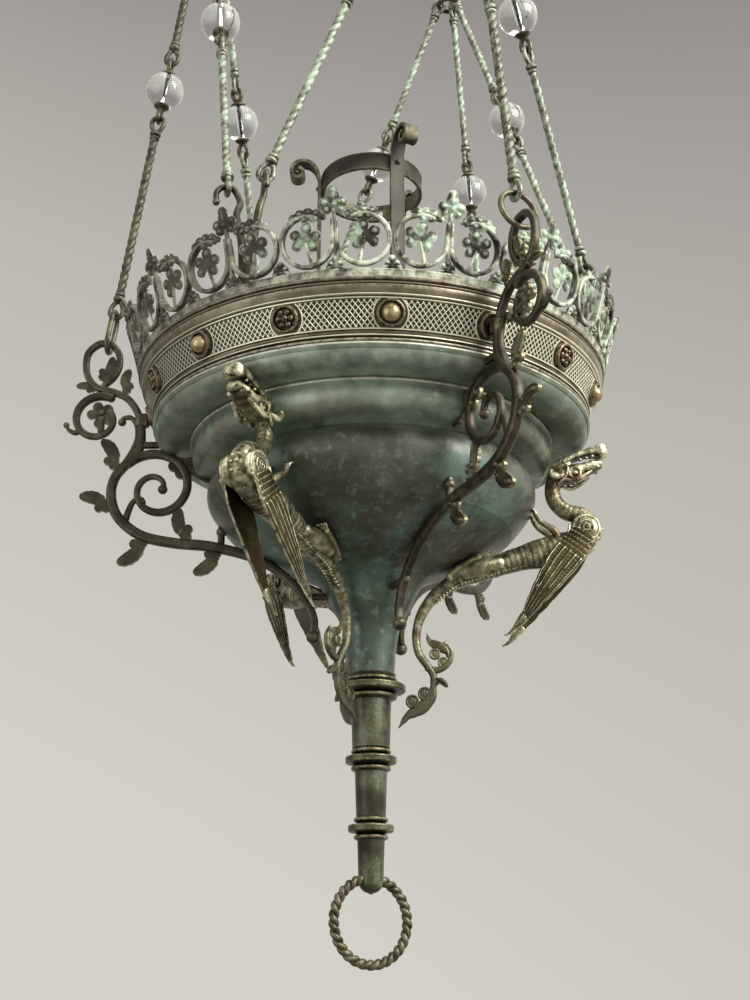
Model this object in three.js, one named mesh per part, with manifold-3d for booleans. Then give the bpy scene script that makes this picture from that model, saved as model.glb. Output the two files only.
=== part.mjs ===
// Hanging bronze lamp in the gothic manner: a tiered bowl with a pierced crown, scroll
// brackets and winged beasts, carried by nine strands of twisted rod and glass balls.
// Millimetres, +Z up. Heights below are measured from the upper edge of the lattice band,
// and the whole lamp is lowered at the end so that the origin is where a hook carries it.
import * as THREE from 'three';
import { mergeVertices } from 'three/addons/utils/BufferGeometryUtils.js';
import Module from 'manifold-3d';

const wasm = await Module();
wasm.setup();

// General clearances
const seatGap = 0.3;
const linkGap = 0.35;
const roundSegments = 32;

// Lattice band round the bowl
const bandRadius = 190;
const bandHeight = 33;
const bandLean = 12 / 33;
const bandThickness = 4;
const bandLipAbove = 3;
const bandLipBelow = 3;
const bossCount = 15;
const bossSeatRise = 3.2;
const bossRadius = 10.3;
const bossRise = 7.2;
const bossSides = 6;

// Bowl, spun in three tiers
const wall = 1.8;
const rimLipRadius = 190.8;
const rimLipThickness = 1.7;
const shoulderRadius = 179;
const tierRoll = 14;
const tierTwoRadius = 146;
const tierTwoDepth = 22;
const lobeRadius = 132.5;
const lobeRoll = 21;
const bowlDepth = 122;
const bowlMouthRadius = 118;
const funnelRadius = 112;

// Funnel under the bowl
const neckRadius = 18;
const neckDepth = 236;

// Turned stem with three knops
const knopOneDepth = 247;
const knopTwoDepth = 302;
const knopThreeDepth = 353;
const knopOneRadius = 27;
const knopTwoRadius = 19.8;
const knopThreeRadius = 17.5;
const fingerRadius = 9.2;
const fingerEnd = 401;
const stemSides = 10;

// Tie rod inside the stem
const tieRadius = 3;
const tieNutRadius = 7;
const tieNutHeight = 6;
const tieLength = 175;

// Rope ring at the bottom, pulled by hand
const pullRingRadius = 30.5;
const ropeRadius = 4;
const pullHoleRadius = 6.1;
const pullRingTurn = 30;

// Pierced crown
const crownCount = 15;
const crownBaseHeight = 12;
const crownRadius = 190.5;
const crownLean = 16;
const crownRingRadius = 17;
const crownWire = 2.1;
const crownDepth = 5;
const crownRingRise = 18;
const crownLeafRadius = 11;
const finialHeight = 60;
const finialRadius = 8.5;

// Cup holder inside the bowl
const cupRingRadius = 43;
const cupRingRise = 201.5;
const cupRingHeight = 16.5;
const strapThickness = 3;
const strapWidth = 13;
const cupScrollRadius = 71;
const cupScrollRise = 228;
const cupPlateRadius = 14;

// Hooks, links and strands
const bracketAzimuths = { left: -90, front: 30, rear: 150 };
const fittingAzimuths = { front_left: -30, right: 90, rear_left: -150 };
const hookClearance = 16.96;
const hookRise = 52;
const hookHalf = 3;
const linkWire = 2.2;
const linkHeights = { left: 37, front: 30, rear: 30 };
const linkHalfWidths = { left: 9, front: 15, rear: 15 };
const linkSeat = 2.3;
const tiltedGap = 1.5;
const fittingInset = 10;
const fittingRadius = crownRadius - fittingInset;
const fittingRise = 110;
const fittingSpread = 17.7;
const hubRadius = 152;
const hubRise = 506;
const hubRingRadius = 10;
const hubWire = 2.4;
const eyeWire = 2.1;
const eyeHalfLength = 8;
const eyeHalfWidth = 6;
const barHalf = 3.1;
const knobRadius = 5.2;
const knobLength = 9;
const lowerRodLength = 204;
const pinLength = 67;
const pinRadius = 1.7;
const pinWire = 2;
const pinEyeHalfLength = 6.6;
const pinEyeHalfWidth = 5;
const ballRadius = 17;
const ballFlat = 16;
const ballBore = 2.2;
const capRadius = 7.4;
const capHeight = 4.6;

// Top rods and the bail that the lamp hangs from
const topRise = 300;
const topRodHalf = 3;
const bailWire = 3.5;
const bailHalfWidth = 22;
const bailLeg = 6;
const topEyeSpacing = 10;
const topEyeWire = 2.4;

// Winged beasts
const wingLean = 2.6;
const wingSpread = 12;
const shoulderRise = -122;

// Finishes
const finishes = {
  patinatedBowl: { color: '#566b62', roughness: 0.55, metalness: 0.75 },
  verdigris: { color: '#8fa992', roughness: 0.8, metalness: 0.35 },
  darkBronze: { color: '#4a3f36', roughness: 0.5, metalness: 0.8 },
  oliveBrass: { color: '#7a6a48', roughness: 0.45, metalness: 0.85 },
  glass: { color: '#e8ecea', roughness: 0.05, metalness: 0 },
};

const crownTopRadius = crownRadius + finialHeight * Math.sin(THREE.MathUtils.degToRad(crownLean));
const hookRadius = crownTopRadius + hookClearance;

const lamp = new THREE.Group();
const up = new THREE.Vector3(0, 0, 1);
const toRadians = THREE.MathUtils.degToRad;

// Solids

// A closed geometry as a solid that can be joined and cut.
function solid(geometry) {
  const merged = sealed(geometry);
  return new wasm.Manifold(new wasm.Mesh({
    numProp: 3,
    vertProperties: Float32Array.from(merged.attributes.position.array),
    triVerts: Uint32Array.from(merged.index.array),
  }));
}

// A solid back as a geometry, flat shaded.
function geometryOf(body) {
  const mesh = body.getMesh();
  const geometry = new THREE.BufferGeometry();
  geometry.setAttribute('position', new THREE.BufferAttribute(mesh.vertProperties.slice(), 3));
  geometry.setIndex(new THREE.BufferAttribute(mesh.triVerts.slice(), 1));
  geometry.computeVertexNormals();
  return geometry;
}

// All the geometries joined into one solid.
function join(...geometries) {
  return geometries.flat().map(solid).reduce((sum, next) => sum.add(next));
}

// A named piece of the lamp, added to the lamp's group.
function piece(name, body, finish) {
  const geometry = body.isBufferGeometry ? body : geometryOf(body);
  const material = new THREE.MeshStandardMaterial(finishes[finish]);
  const mesh = new THREE.Mesh(geometry, material);
  mesh.name = name;
  lamp.add(mesh);
  return mesh;
}

// Turns what was built in the profile plane (x outward, z up) to its place round the axis.
// Azimuth 0 faces -Y and grows towards +X.
function turn(object, azimuth) {
  object.rotateZ(toRadians(azimuth - 90));
  return object;
}

// A closed surface from rings of points, with a flat end at the first and last ring.
function skin(rings, closed) {
  const sides = rings[0].length;
  const positions = rings.flat().flatMap((p) => [p.x, p.y, p.z]);
  const indices = [];
  const last = closed ? rings.length : rings.length - 1;
  for (let i = 0; i < last; i += 1) {
    for (let j = 0; j < sides; j += 1) {
      const a = i * sides + j;
      const b = i * sides + (j + 1) % sides;
      const c = ((i + 1) % rings.length) * sides + (j + 1) % sides;
      const d = ((i + 1) % rings.length) * sides + j;
      indices.push(a, b, c, a, c, d);
    }
  }
  if (!closed) {
    const end = (rings.length - 1) * sides;
    for (let j = 1; j < sides - 1; j += 1) {
      indices.push(0, j + 1, j, end, end + j, end + j + 1);
    }
  }
  const geometry = new THREE.BufferGeometry();
  geometry.setAttribute('position', new THREE.Float32BufferAttribute(positions, 3));
  geometry.setIndex(indices);
  return outward(geometry);
}

// Turns the faces round where they point inwards, which the signed volume tells.
function outward(geometry) {
  const p = geometry.attributes.position;
  const index = geometry.index.array;
  const [a, b, c] = [new THREE.Vector3(), new THREE.Vector3(), new THREE.Vector3()];
  let volume = 0;
  for (let i = 0; i < index.length; i += 3) {
    a.fromBufferAttribute(p, index[i]);
    b.fromBufferAttribute(p, index[i + 1]);
    c.fromBufferAttribute(p, index[i + 2]);
    volume += a.dot(b.cross(c));
  }
  if (volume < 0) {
    const turned = Array.from(index);
    for (let i = 0; i < turned.length; i += 3) {
      [turned[i], turned[i + 1]] = [turned[i + 1], turned[i]];
    }
    geometry.setIndex(turned);
  }
  return geometry;
}

// A bar along a flat path in the profile plane. Its section has corners that point in the
// plane (ridged) or flat faces (strap), with half sizes in the plane and across it.
function bar(path, steps, half, options = {}) {
  const { sides = 4, strap = false, closed = false, shift = 0 } = options;
  const rings = [];
  const count = closed ? steps : steps + 1;
  const spread = strap ? Math.SQRT2 : 1;
  const start = strap ? Math.PI / 4 : 0;
  for (let i = 0; i < count; i += 1) {
    const t = i / steps;
    const here = path(t);
    const before = path(closed ? (t - 0.002 + 1) % 1 : Math.max(t - 0.002, 0));
    const after = path(closed ? (t + 0.002) % 1 : Math.min(t + 0.002, 1));
    const along = after.clone().sub(before).normalize();
    const [inPlane, across] = half(t);
    const ring = [];
    for (let j = 0; j < sides; j += 1) {
      const angle = start + 2 * Math.PI * j / sides;
      const u = spread * inPlane * Math.cos(angle);
      const v = spread * across * Math.sin(angle);
      ring.push(new THREE.Vector3(here.x - along.y * u, v + shift, here.y + along.x * u));
    }
    rings.push(ring);
  }
  return skin(rings, closed);
}

// A smooth flat path through points of the profile plane, at an even pace.
function through(points, tension = 0.5) {
  const curve = new THREE.CatmullRomCurve3(
    points.map(([x, z]) => new THREE.Vector3(x, z, 0)), false, 'centripetal', tension);
  return (t) => {
    const p = curve.getPointAt(t);
    return new THREE.Vector2(p.x, p.y);
  };
}

// A scroll whose radius shrinks evenly as it turns.
function scroll(cx, cz, fromRadius, toRadius, fromDegrees, toDegrees) {
  return (t) => {
    const angle = toRadians(fromDegrees + (toDegrees - fromDegrees) * t);
    const radius = fromRadius + (toRadius - fromRadius) * t;
    return new THREE.Vector2(cx + radius * Math.cos(angle), cz + radius * Math.sin(angle));
  };
}

// Half sizes that run evenly from one end of a bar to the other.
function taper(fromPlane, toPlane, fromAcross = fromPlane, toAcross = toPlane) {
  return (t) => [
    THREE.MathUtils.lerp(fromPlane, toPlane, t),
    THREE.MathUtils.lerp(fromAcross, toAcross, t),
  ];
}

// Half sizes given at even stations along a bar.
function stations(values) {
  return (t) => {
    const place = t * (values.length - 1);
    const i = Math.min(Math.floor(place), values.length - 2);
    const f = place - i;
    const a = values[i];
    const b = values[i + 1];
    return [a[0] + (b[0] - a[0]) * f, a[1] + (b[1] - a[1]) * f];
  };
}

// A small faceted bead, used for balls, buds and ends.
function bead(x, z, radius, across = radius, y = 0) {
  const geometry = new THREE.OctahedronGeometry(1.15);
  geometry.scale(radius, across, radius);
  geometry.translate(x, y, z);
  return geometry;
}

// A flat leaf in the profile plane, with lobes on both edges of its midrib.
function leaf(fromX, fromZ, toX, toZ, width, thickness) {
  const length = Math.hypot(toX - fromX, toZ - fromZ);
  const edge = [[0, 0.18], [0.42, 0.5]];
  const shape = new THREE.Shape();
  shape.moveTo(0, -edge[0][1] * width);
  edge.slice(1).forEach(([s, w]) => shape.lineTo(s * length, -w * width));
  shape.lineTo(length, 0);
  edge.slice().reverse().forEach(([s, w]) => shape.lineTo(s * length, w * width));
  const geometry = new THREE.ExtrudeGeometry(shape, { depth: thickness, bevelEnabled: false });
  geometry.translate(0, 0, -thickness / 2);
  geometry.rotateZ(Math.atan2(toZ - fromZ, toX - fromX));
  geometry.rotateX(Math.PI / 2);
  geometry.translate(fromX, 0, fromZ);
  return geometry;
}

// A flat plate of even thickness from a shape in its own plane.
function plate(shape, thickness) {
  const geometry = new THREE.ExtrudeGeometry(shape, { depth: thickness, bevelEnabled: false });
  geometry.translate(0, 0, -thickness / 2);
  return geometry;
}

// The edge of a three-lobed leaf on a stalk, from the stalk's left foot to its right foot.
function leafEdge(radius, stalk, stalkHalf, lean) {
  const points = [[-stalkHalf, -stalk]];
  for (const [angle, reach] of [[170, 1], [125, 0.62], [90, 1.1], [55, 0.62], [10, 1]]) {
    const a = toRadians(angle);
    points.push([radius * reach * Math.cos(a), radius * reach * Math.sin(a)]);
  }
  points.push([stalkHalf, -stalk]);
  return points.map(([x, y]) => new THREE.Vector2(x + lean * (y + stalk), y));
}

// One ringed scroll of the crown: a ring with a leaf that grows from its foot.
function crownScroll(side) {
  const shape = new THREE.Shape();
  const outer = crownRingRadius + crownWire;
  const inner = crownRingRadius - crownWire;
  const steps = 7;
  for (let k = 0; k < steps; k += 1) {
    const a = -Math.PI / 2 + 2 * Math.PI * (k + 0.5) / steps;
    if (k === 0) shape.moveTo(outer * Math.cos(a), outer * Math.sin(a));
    else shape.lineTo(outer * Math.cos(a), outer * Math.sin(a));
  }
  const leafPoints = leafEdge(crownLeafRadius, inner - 0.2, 1.3, side * 0.12);
  const hole = new THREE.Path();
  leafPoints.forEach((p, k) => (k === 0 ? hole.moveTo(p.x, p.y) : hole.lineTo(p.x, p.y)));
  for (let k = 0; k < steps; k += 1) {
    const a = -Math.PI / 2 + 2 * Math.PI * (k + 0.5) / steps;
    hole.lineTo(inner * Math.cos(a), inner * Math.sin(a));
  }
  shape.holes.push(hole);
  return plate(shape, crownDepth);
}

// A leaf finial on its stem.
function crownFinial(rise) {
  const edge = leafEdge(finialRadius, rise, 1.5, 0);
  edge.forEach((p) => { if (p.y > -rise) p.y *= 1.3; });
  return plate(new THREE.Shape(edge), crownDepth * 0.6);
}

// A geometry with shared corners and without the faces that have no area.
function sealed(geometry) {
  const bare = geometry.clone();
  bare.deleteAttribute('normal');
  bare.deleteAttribute('uv');
  const merged = mergeVertices(bare, 1e-3);
  const index = merged.index.array;
  const kept = [];
  for (let i = 0; i < index.length; i += 3) {
    const [a, b, c] = [index[i], index[i + 1], index[i + 2]];
    if (a !== b && b !== c && a !== c) kept.push(a, b, c);
  }
  merged.setIndex(kept);
  return merged;
}

// A solid of revolution from a closed outline of [radius, height] pairs.
function revolve(outline, segments = roundSegments) {
  const points = outline.map(([r, z]) => new THREE.Vector2(Math.max(r, 0), z));
  const onAxis = outline[0][0] === 0 && outline[outline.length - 1][0] === 0;
  if (!onAxis) points.push(points[0].clone());
  const geometry = new THREE.LatheGeometry(points, segments);
  geometry.rotateX(Math.PI / 2);
  return outward(sealed(geometry));
}

// An outline pushed out by a distance along its corners, used for walls and clearances.
function offset(outline, distance) {
  return outline.map(([r, z], i) => {
    const before = outline[Math.max(i - 1, 0)];
    const after = outline[Math.min(i + 1, outline.length - 1)];
    const inward = i > 0 ? [r - before[0], z - before[1]] : [after[0] - r, after[1] - z];
    const onward = i < outline.length - 1 ? [after[0] - r, after[1] - z] : inward;
    const a = Math.hypot(...inward);
    const b = Math.hypot(...onward);
    const n1 = [-inward[1] / a, inward[0] / a];
    const n2 = [-onward[1] / b, onward[0] / b];
    const share = 1 + n1[0] * n2[0] + n1[1] * n2[1];
    return [r + distance * (n1[0] + n2[0]) / share, z + distance * (n1[1] + n2[1]) / share];
  });
}

// The radius of the band's outer face at a height.
function bandFace(z) {
  return bandRadius + bandLean * z;
}

// Outlines of the bowl

const shoulder = -(bandHeight + bandLipBelow) - seatGap;
const tierOneFloor = shoulder - tierRoll;
const tierTwoFloor = tierOneFloor - tierTwoDepth;
const lobeHeight = tierTwoFloor - lobeRoll;
const lobeCentre = lobeRadius - lobeRoll;

// Outer surface of the bowl below the band, from the shoulder to its open bottom.
function bowlSkin() {
  const roll = [25, 62].map((angle) => [
    shoulderRadius - tierRoll + tierRoll * Math.cos(toRadians(angle)),
    shoulder - tierRoll * Math.sin(toRadians(angle)),
  ]);
  const lobe = [46, 12, -24].map((angle) => [
    lobeCentre + lobeRoll * Math.cos(toRadians(angle)),
    lobeHeight + lobeRoll * Math.sin(toRadians(angle)),
  ]);
  return [
    [shoulderRadius, shoulder],
    ...roll,
    [tierTwoRadius, tierOneFloor + 0.5],
    [tierTwoRadius - 0.5, tierOneFloor - tierTwoDepth * 0.5],
    [tierTwoRadius - 5, tierTwoFloor + tierTwoDepth * 0.16],
    [lobeCentre + lobeRoll * 0.75, tierTwoFloor + 1],
    [lobeCentre + lobeRoll * 0.5, tierTwoFloor - 1],
    ...lobe,
    [bowlMouthRadius, -bowlDepth],
    [funnelRadius + seatGap, -bowlDepth - 3],
  ];
}

// Outer surface of the funnel, from the bowl's open bottom to the neck.
function funnelSkin() {
  return [
    [funnelRadius, -bowlDepth - 3.2],
    [80, -144],
    [42, -162.5],
    [31, -182],
    [22.5, -203],
    [neckRadius, -neckDepth],
  ];
}

// The height of the funnel's inner face at a radius, where things can stand in its throat.
function throatHeight(radius) {
  const inner = offset(funnelSkin(), -wall);
  const i = inner.findIndex(([r]) => r <= radius);
  const [a, b] = [inner[i - 1], inner[i]];
  return b[1] + (a[1] - b[1]) * (radius - b[0]) / (a[0] - b[0]);
}

// Everything that the outer fittings must stay clear of, as one solid.
function bodyClearance() {
  const outside = [
    [bandFace(-2) + 1.2, bandLipAbove],
    [bandFace(-bandHeight) + 2.6, -bandHeight],
    [shoulderRadius + 1, shoulder],
    ...bowlSkin().slice(1),
    ...funnelSkin().slice(1),
    [neckRadius, -neckDepth - 5],
    [knopOneRadius, -knopOneDepth + 4],
    [knopOneRadius, -knopOneDepth - 4],
    [16, -knopOneDepth - 12],
  ];
  const grown = offset(outside, seatGap);
  const shell = revolve([[0, bandLipAbove], ...grown, [0, grown[grown.length - 1][1]]]);
  return join(shell, ...bosses(seatGap));
}

// The bowl's upright wall behind the band, as a solid that inner fittings stay clear of.
function wallClearance() {
  const away = bandThickness + seatGap + wall + seatGap;
  const [low, high] = [shoulder + 2, bandLipAbove + seatGap + rimLipThickness];
  const out = bandRadius + 5;
  return solid(revolve([
    [bandFace(low) - away, low], [out, low], [out, high], [bandFace(high) - away, high],
  ]));
}

// Pieces

// The bowl: a spun shell with a rolled lip over the band and a shoulder under it.
function makeBowl() {
  const behindBand = bandThickness + seatGap;
  const lipUnder = bandLipAbove + seatGap;
  const outer = [
    [rimLipRadius, lipUnder + rimLipThickness],
    [rimLipRadius, lipUnder],
    [bandFace(lipUnder) - behindBand, lipUnder],
    [bandFace(shoulder) - behindBand, shoulder],
    ...bowlSkin(),
  ];
  const floor = tierOneFloor + wall;
  const shelf = tierTwoFloor + wall;
  const inner = [
    [funnelRadius + seatGap, -bowlDepth - 3 + wall + 0.8],
    [bowlMouthRadius - 1.4, -bowlDepth + wall + 1],
    [lobeRadius - wall - 2, lobeHeight - lobeRoll * 0.35],
    [lobeRadius - wall - 2, lobeHeight + lobeRoll * 0.35],
    [lobeCentre + lobeRoll * 0.34, tierTwoFloor + 1.1],
    [tierTwoRadius - wall - 6, shelf + 4.2],
    [tierTwoRadius - wall - 0.8, floor],
    [shoulderRadius - wall - 4, shoulder - 4],
    [bandFace(shoulder) - behindBand - wall, shoulder + 1],
    [bandFace(lipUnder + rimLipThickness) - behindBand - wall, lipUnder + rimLipThickness],
  ];
  piece('bowl', revolve([...outer, ...inner]), 'patinatedBowl');
}

// The row of round bosses on the band, grown on all sides by a clearance. The three under
// the brackets are low seats.
function bosses(grow) {
  const lean = Math.atan(bandLean);
  const middle = -bandHeight / 2;
  const radius = bossRadius + grow;
  return Array.from({ length: bossCount }, (_, k) => {
    const underBracket = k % (bossCount / 3) === 0;
    const rise = underBracket ? bossSeatRise : bossRise;
    const boss = revolve([
      [0, -2.6], [radius, -2.6], [radius, 3 + grow], [0, rise + grow],
    ], bossSides);
    boss.rotateY(Math.PI / 2 + lean);
    boss.translate(bandFace(middle), 0, middle);
    return turn(boss, bracketAzimuths.front + 360 * k / bossCount);
  });
}

// The lattice band, with a moulding at each edge and a row of round bosses.
function makeBand() {
  const top = bandLipAbove;
  const bottom = -bandHeight - bandLipBelow;
  const ring = revolve([
    [bandFace(top) - bandThickness, top],
    [bandFace(top) + 0.2, top],
    [bandFace(0) + 1.2, 0.4],
    [bandFace(-3) - 0.6, -2.6],
    [bandFace(-bandHeight + 2) - 0.6, -bandHeight + 2],
    [bandFace(-bandHeight) + 2.2, -bandHeight - 0.6],
    [bandFace(bottom) + 1.6, bottom],
    [bandFace(bottom) - bandThickness, bottom],
  ]);
  piece('gallery_band', join(ring, ...bosses(0)), 'oliveBrass');
}

// Places flat crown work (x along the rim, y up) on the leaning crown.
function onCrown(geometry, azimuth) {
  const stand = new THREE.Matrix4().makeBasis(
    new THREE.Vector3(0, 1, 0), new THREE.Vector3(0, 0, 1), new THREE.Vector3(1, 0, 0));
  geometry.applyMatrix4(stand);
  geometry.rotateY(toRadians(crownLean));
  geometry.translate(crownRadius, 0, crownFoot() + crownBaseHeight - 3);
  return turn(geometry, azimuth);
}

// The underside of the crown, just above the bowl's lip.
function crownFoot() {
  return bandLipAbove + seatGap + rimLipThickness + seatGap;
}

// The crown: a base ring carrying pairs of ringed scrolls with a leaf in each, and a leaf
// finial on a stem between the two scrolls of a pair.
function makeCrown() {
  const foot = crownFoot();
  const head = foot + crownBaseHeight;
  const base = revolve([
    [crownRadius - 6, foot], [crownRadius + 1.5, foot], [crownRadius + 4.2, head],
    [crownRadius - 4.2, head],
  ], 2 * crownCount);
  base.rotateZ(toRadians(90 / crownCount));
  const parts = [base];
  const pitch = 360 / crownCount;
  const centre = crownRingRise;
  for (let k = 0; k < crownCount; k += 1) {
    const azimuth = bracketAzimuths.front + pitch * (k + 0.5);
    for (const side of [-1, 1]) {
      const at = azimuth + side * pitch / 4;
      const ring = crownScroll(side);
      ring.translate(0, centre, 0);
      parts.push(onCrown(ring, at));
    }
    const rise = finialHeight - finialRadius * 1.4;
    const finial = crownFinial(rise);
    finial.translate(0, rise, 0);
    parts.push(onCrown(finial, azimuth));
  }
  piece('crown_gallery', join(parts), 'verdigris');
}

// The funnel: a spun shell that closes the bowl and runs down to the neck.
function makeFunnel() {
  const outer = funnelSkin();
  const inner = offset(outer, -wall).reverse();
  piece('funnel', revolve([...outer, ...inner]), 'patinatedBowl');
}

// One knop of the stem: a thin ring, a disc and a thin ring.
function knop(depth, disc, ring) {
  return [
    [ring, -depth + 7], [ring, -depth + 4.2], [disc, -depth + 2.4], [disc, -depth - 2.4],
    [ring, -depth - 4.2], [ring, -depth - 7],
  ];
}

// The stem: turned, bored for the tie rod, with a cross hole at its rounded end.
function makeStem() {
  const spigot = neckRadius - wall - 0.8;
  const bore = tieRadius + seatGap + 0.1;
  const boreEnd = tieTop() - tieLength - seatGap;
  const outline = [
    [bore, -neckDepth + 18],
    [spigot, -neckDepth + 18],
    [spigot, -neckDepth - seatGap],
    [neckRadius + 1, -neckDepth - seatGap],
    ...knop(knopOneDepth, knopOneRadius, 20),
    [15.4, -knopOneDepth - 8.5],
    [14.4, -knopTwoDepth + 8.5],
    ...knop(knopTwoDepth, knopTwoRadius, 15),
    [12.2, -knopTwoDepth - 8.5],
    [11.1, -knopThreeDepth + 8.5],
    ...knop(knopThreeDepth, knopThreeRadius, 12.7),
    [10, -knopThreeDepth - 8.5],
    [fingerRadius, -fingerEnd + 7],
    [fingerRadius * 0.7, -fingerEnd + 2],
    [0, -fingerEnd],
    [0, boreEnd],
    [bore, boreEnd],
  ];
  const body = solid(revolve(outline, stemSides));
  const hole = new THREE.CylinderGeometry(pullHoleRadius, pullHoleRadius, 40, 12);
  hole.rotateZ(Math.PI / 2);
  hole.translate(0, 0, pullHoleHeight());
  hole.rotateZ(toRadians(pullRingTurn));
  piece('stem', body.subtract(solid(hole)), 'patinatedBowl');
}

// The height of the cross hole's middle.
function pullHoleHeight() {
  return -fingerEnd + 12;
}

// The height of the pull ring's wire where it passes through the stem: the wire's sag over
// the width of the finger rests on the lower lip of the hole.
function pullWireHeight() {
  const sag = pullRingRadius - Math.sqrt(pullRingRadius ** 2 - fingerRadius ** 2);
  return pullHoleHeight() - (pullHoleRadius - ropeRadius - seatGap - sag);
}

// The rope ring that hangs through the stem's end.
function makePullRing() {
  const ring = new THREE.TorusGeometry(pullRingRadius, ropeRadius, 6, 20);
  ring.rotateX(Math.PI / 2);
  ring.translate(0, 0, pullWireHeight() - pullRingRadius);
  ring.rotateZ(toRadians(pullRingTurn));
  piece('pull_ring', sealed(ring), 'darkBronze');
}

// The height of the cup holder's plate, which stands in the funnel's throat.
function cupPlateHeight() {
  return throatHeight(cupRingRadius + 6) + seatGap + strapThickness / 2 + 0.4;
}

// The top of the tie rod's shank, above the cup holder's plate.
function tieTop() {
  return cupPlateHeight() + strapThickness / 2 + seatGap + tieNutHeight;
}

// The tie rod with its nut, which draws the stem, funnel and cup holder together.
function makeTieRod() {
  const top = tieTop();
  const shank = new THREE.CylinderGeometry(tieRadius, tieRadius, tieLength, 8);
  shank.rotateX(Math.PI / 2);
  shank.translate(0, 0, top - tieLength / 2);
  const nut = new THREE.CylinderGeometry(tieNutRadius, tieNutRadius, tieNutHeight, 6);
  nut.rotateX(Math.PI / 2);
  nut.translate(0, 0, top - tieNutHeight / 2);
  piece('stem_tie_rod', join(shank, nut), 'darkBronze');
}

// The cup holder: a strap ring on three strap legs that scroll outwards at the top and
// meet on a plate in the funnel's throat.
function makeCupHolder() {
  const inner = cupRingRadius - strapThickness / 2;
  const outer = cupRingRadius + strapThickness / 2;
  const low = cupRingRise - cupRingHeight / 2;
  const high = cupRingRise + cupRingHeight / 2;
  const ring = revolve([[inner, low], [outer, low], [outer, high], [inner, high]], 21);
  const base = cupPlateHeight();
  const leg = cupRingRadius + strapThickness * 0.9;
  const foot = cupPlateRadius - 4;
  const path = through([
    [foot, base], [leg * 0.6, base], [leg - 5, base + 0.6], [leg, base + 7], [leg, base + 90],
    [leg, cupRingRise - 60], [leg, cupRingRise + 8], [leg + 3.5, cupScrollRise - 9],
    [leg + 9.5, cupScrollRise - 2], [cupScrollRadius - 7, cupScrollRise],
    [cupScrollRadius, cupScrollRise - 7], [cupScrollRadius - 1, cupScrollRise - 15],
  ]);
  const half = () => [strapThickness / 2, strapWidth / 2];
  const plate = revolve([
    [tieRadius + seatGap + 0.2, base - strapThickness / 2],
    [cupPlateRadius, base - strapThickness / 2],
    [cupPlateRadius, base + strapThickness / 2],
    [tieRadius + seatGap + 0.2, base + strapThickness / 2],
  ], 16);
  const parts = [ring, plate];
  for (const azimuth of Object.values(bracketAzimuths)) {
    const strap = bar(path, 13, half, { strap: true });
    const curl = bead(cupScrollRadius - 5.5, cupScrollRise - 14, 4.4, strapWidth / 2);
    parts.push(turn(strap, azimuth), turn(curl, azimuth));
  }
  piece('cup_holder', join(parts), 'darkBronze');
}

// A scroll bracket in the profile plane: a hook loop at the top, a main stem that sweeps
// under the bowl, two scrolls, side shoots, leaves, and lugs that reach the bowl.
function bracketSolid() {
  const out = hookRadius;
  const low = hookRise - 39;
  const mainStem = through([
    [out + 1, low], [out - 6.5, low + 7], [out - 10.8, low + 17], [out - 10, low + 29],
    [out - 4, hookRise - 1.4], [out, hookRise], [out + 8, hookRise - 0.5],
    [out + 16.5, low + 29], [out + 16, low + 11], [out + 7, low - 1.5], [out - 7, low - 6],
    [204.5, 1],
    [195, -12], [190.8, -27], [191.5, -44], [201, -57], [210, -69], [212.8, -83],
    [209, -99], [199, -111.5], [183, -121.5], [158, -127], [130, -130], [98, -138.5],
    [74, -151.5], [55.5, -170], [45.5, -189], [45, -203],
  ]);
  const stemHalf = stations([
    [2.6, 3], [hookHalf, 3], [hookHalf, 3], [3.4, 3.4], [4, 3.8], [4.4, 4], [4.4, 4],
    [4, 4], [3.6, 3.8], [3.2, 3.4], [2.8, 3],
  ]);
  const upperScroll = scroll(228, -17.5, 21.5, 12, 118, -215);
  const lowerScroll = scroll(176, -80, 33, 6, 42, 525);
  const sprig = through([[202, -57], [194.5, -42], [193.8, -26], [200, -16.5], [207.5, -19]]);
  const branch = through([[200, -109], [197.5, -99], [194, -91], [187, -88.5]]);
  const tail = through([[242, -24], [248, -29], [254.5, -24]]);
  const parts = [
    bar(mainStem, 30, stemHalf, { strap: true }),
    bar(upperScroll, 11, taper(3.4, 2.4, 3.4, 2.6)),
    bar(lowerScroll, 14, taper(3.8, 2.2, 3.6, 2.6)),
    bar(sprig, 5, taper(3, 1.8)),
    bar(branch, 3, taper(2.6, 1.8)),
    bar(tail, 3, taper(2, 1.4)),
    bead(45, -205, 5.4), bead(170.5, -81, 3.6), bead(207.5, -20, 3.6), bead(254.5, -23, 2.8),
    leaf(out + 12, low + 1, out + 25, low - 1, 12, 3),
    leaf(207, 5, 203, 27, 14, 3),
    leaf(212, -91, 242, -81, 18, 3),
    leaf(184, -121, 207, -141, 18, 3),
    leaf(157, -127, 158, -97, 16, 3),
    leaf(127, -130, 146, -150, 18, 3),
    leaf(164, -54, 128, -76, 13, 3),
    bead(out + 1, -13, 7.5, 2.6),
  ];
  const stay = new THREE.BoxGeometry(3.4, 3.4, 12);
  stay.translate(out + 1, 0, -22);
  const bandLug = new THREE.BoxGeometry(8, 9, 13);
  bandLug.translate(189.5, 0, -19.5);
  const shoulderLug = new THREE.BoxGeometry(18, 6, 6);
  shoulderLug.translate(181, 0, -41.5);
  const lobePeg = new THREE.BoxGeometry(6, 6, 22);
  lobePeg.translate(121, 0, -122);
  const throatPeg = new THREE.BoxGeometry(30, 6, 6);
  throatPeg.translate(44, 0, -173);
  parts.push(stay, bandLug, shoulderLug, lobePeg, throatPeg);
  return join(parts);
}

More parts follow.
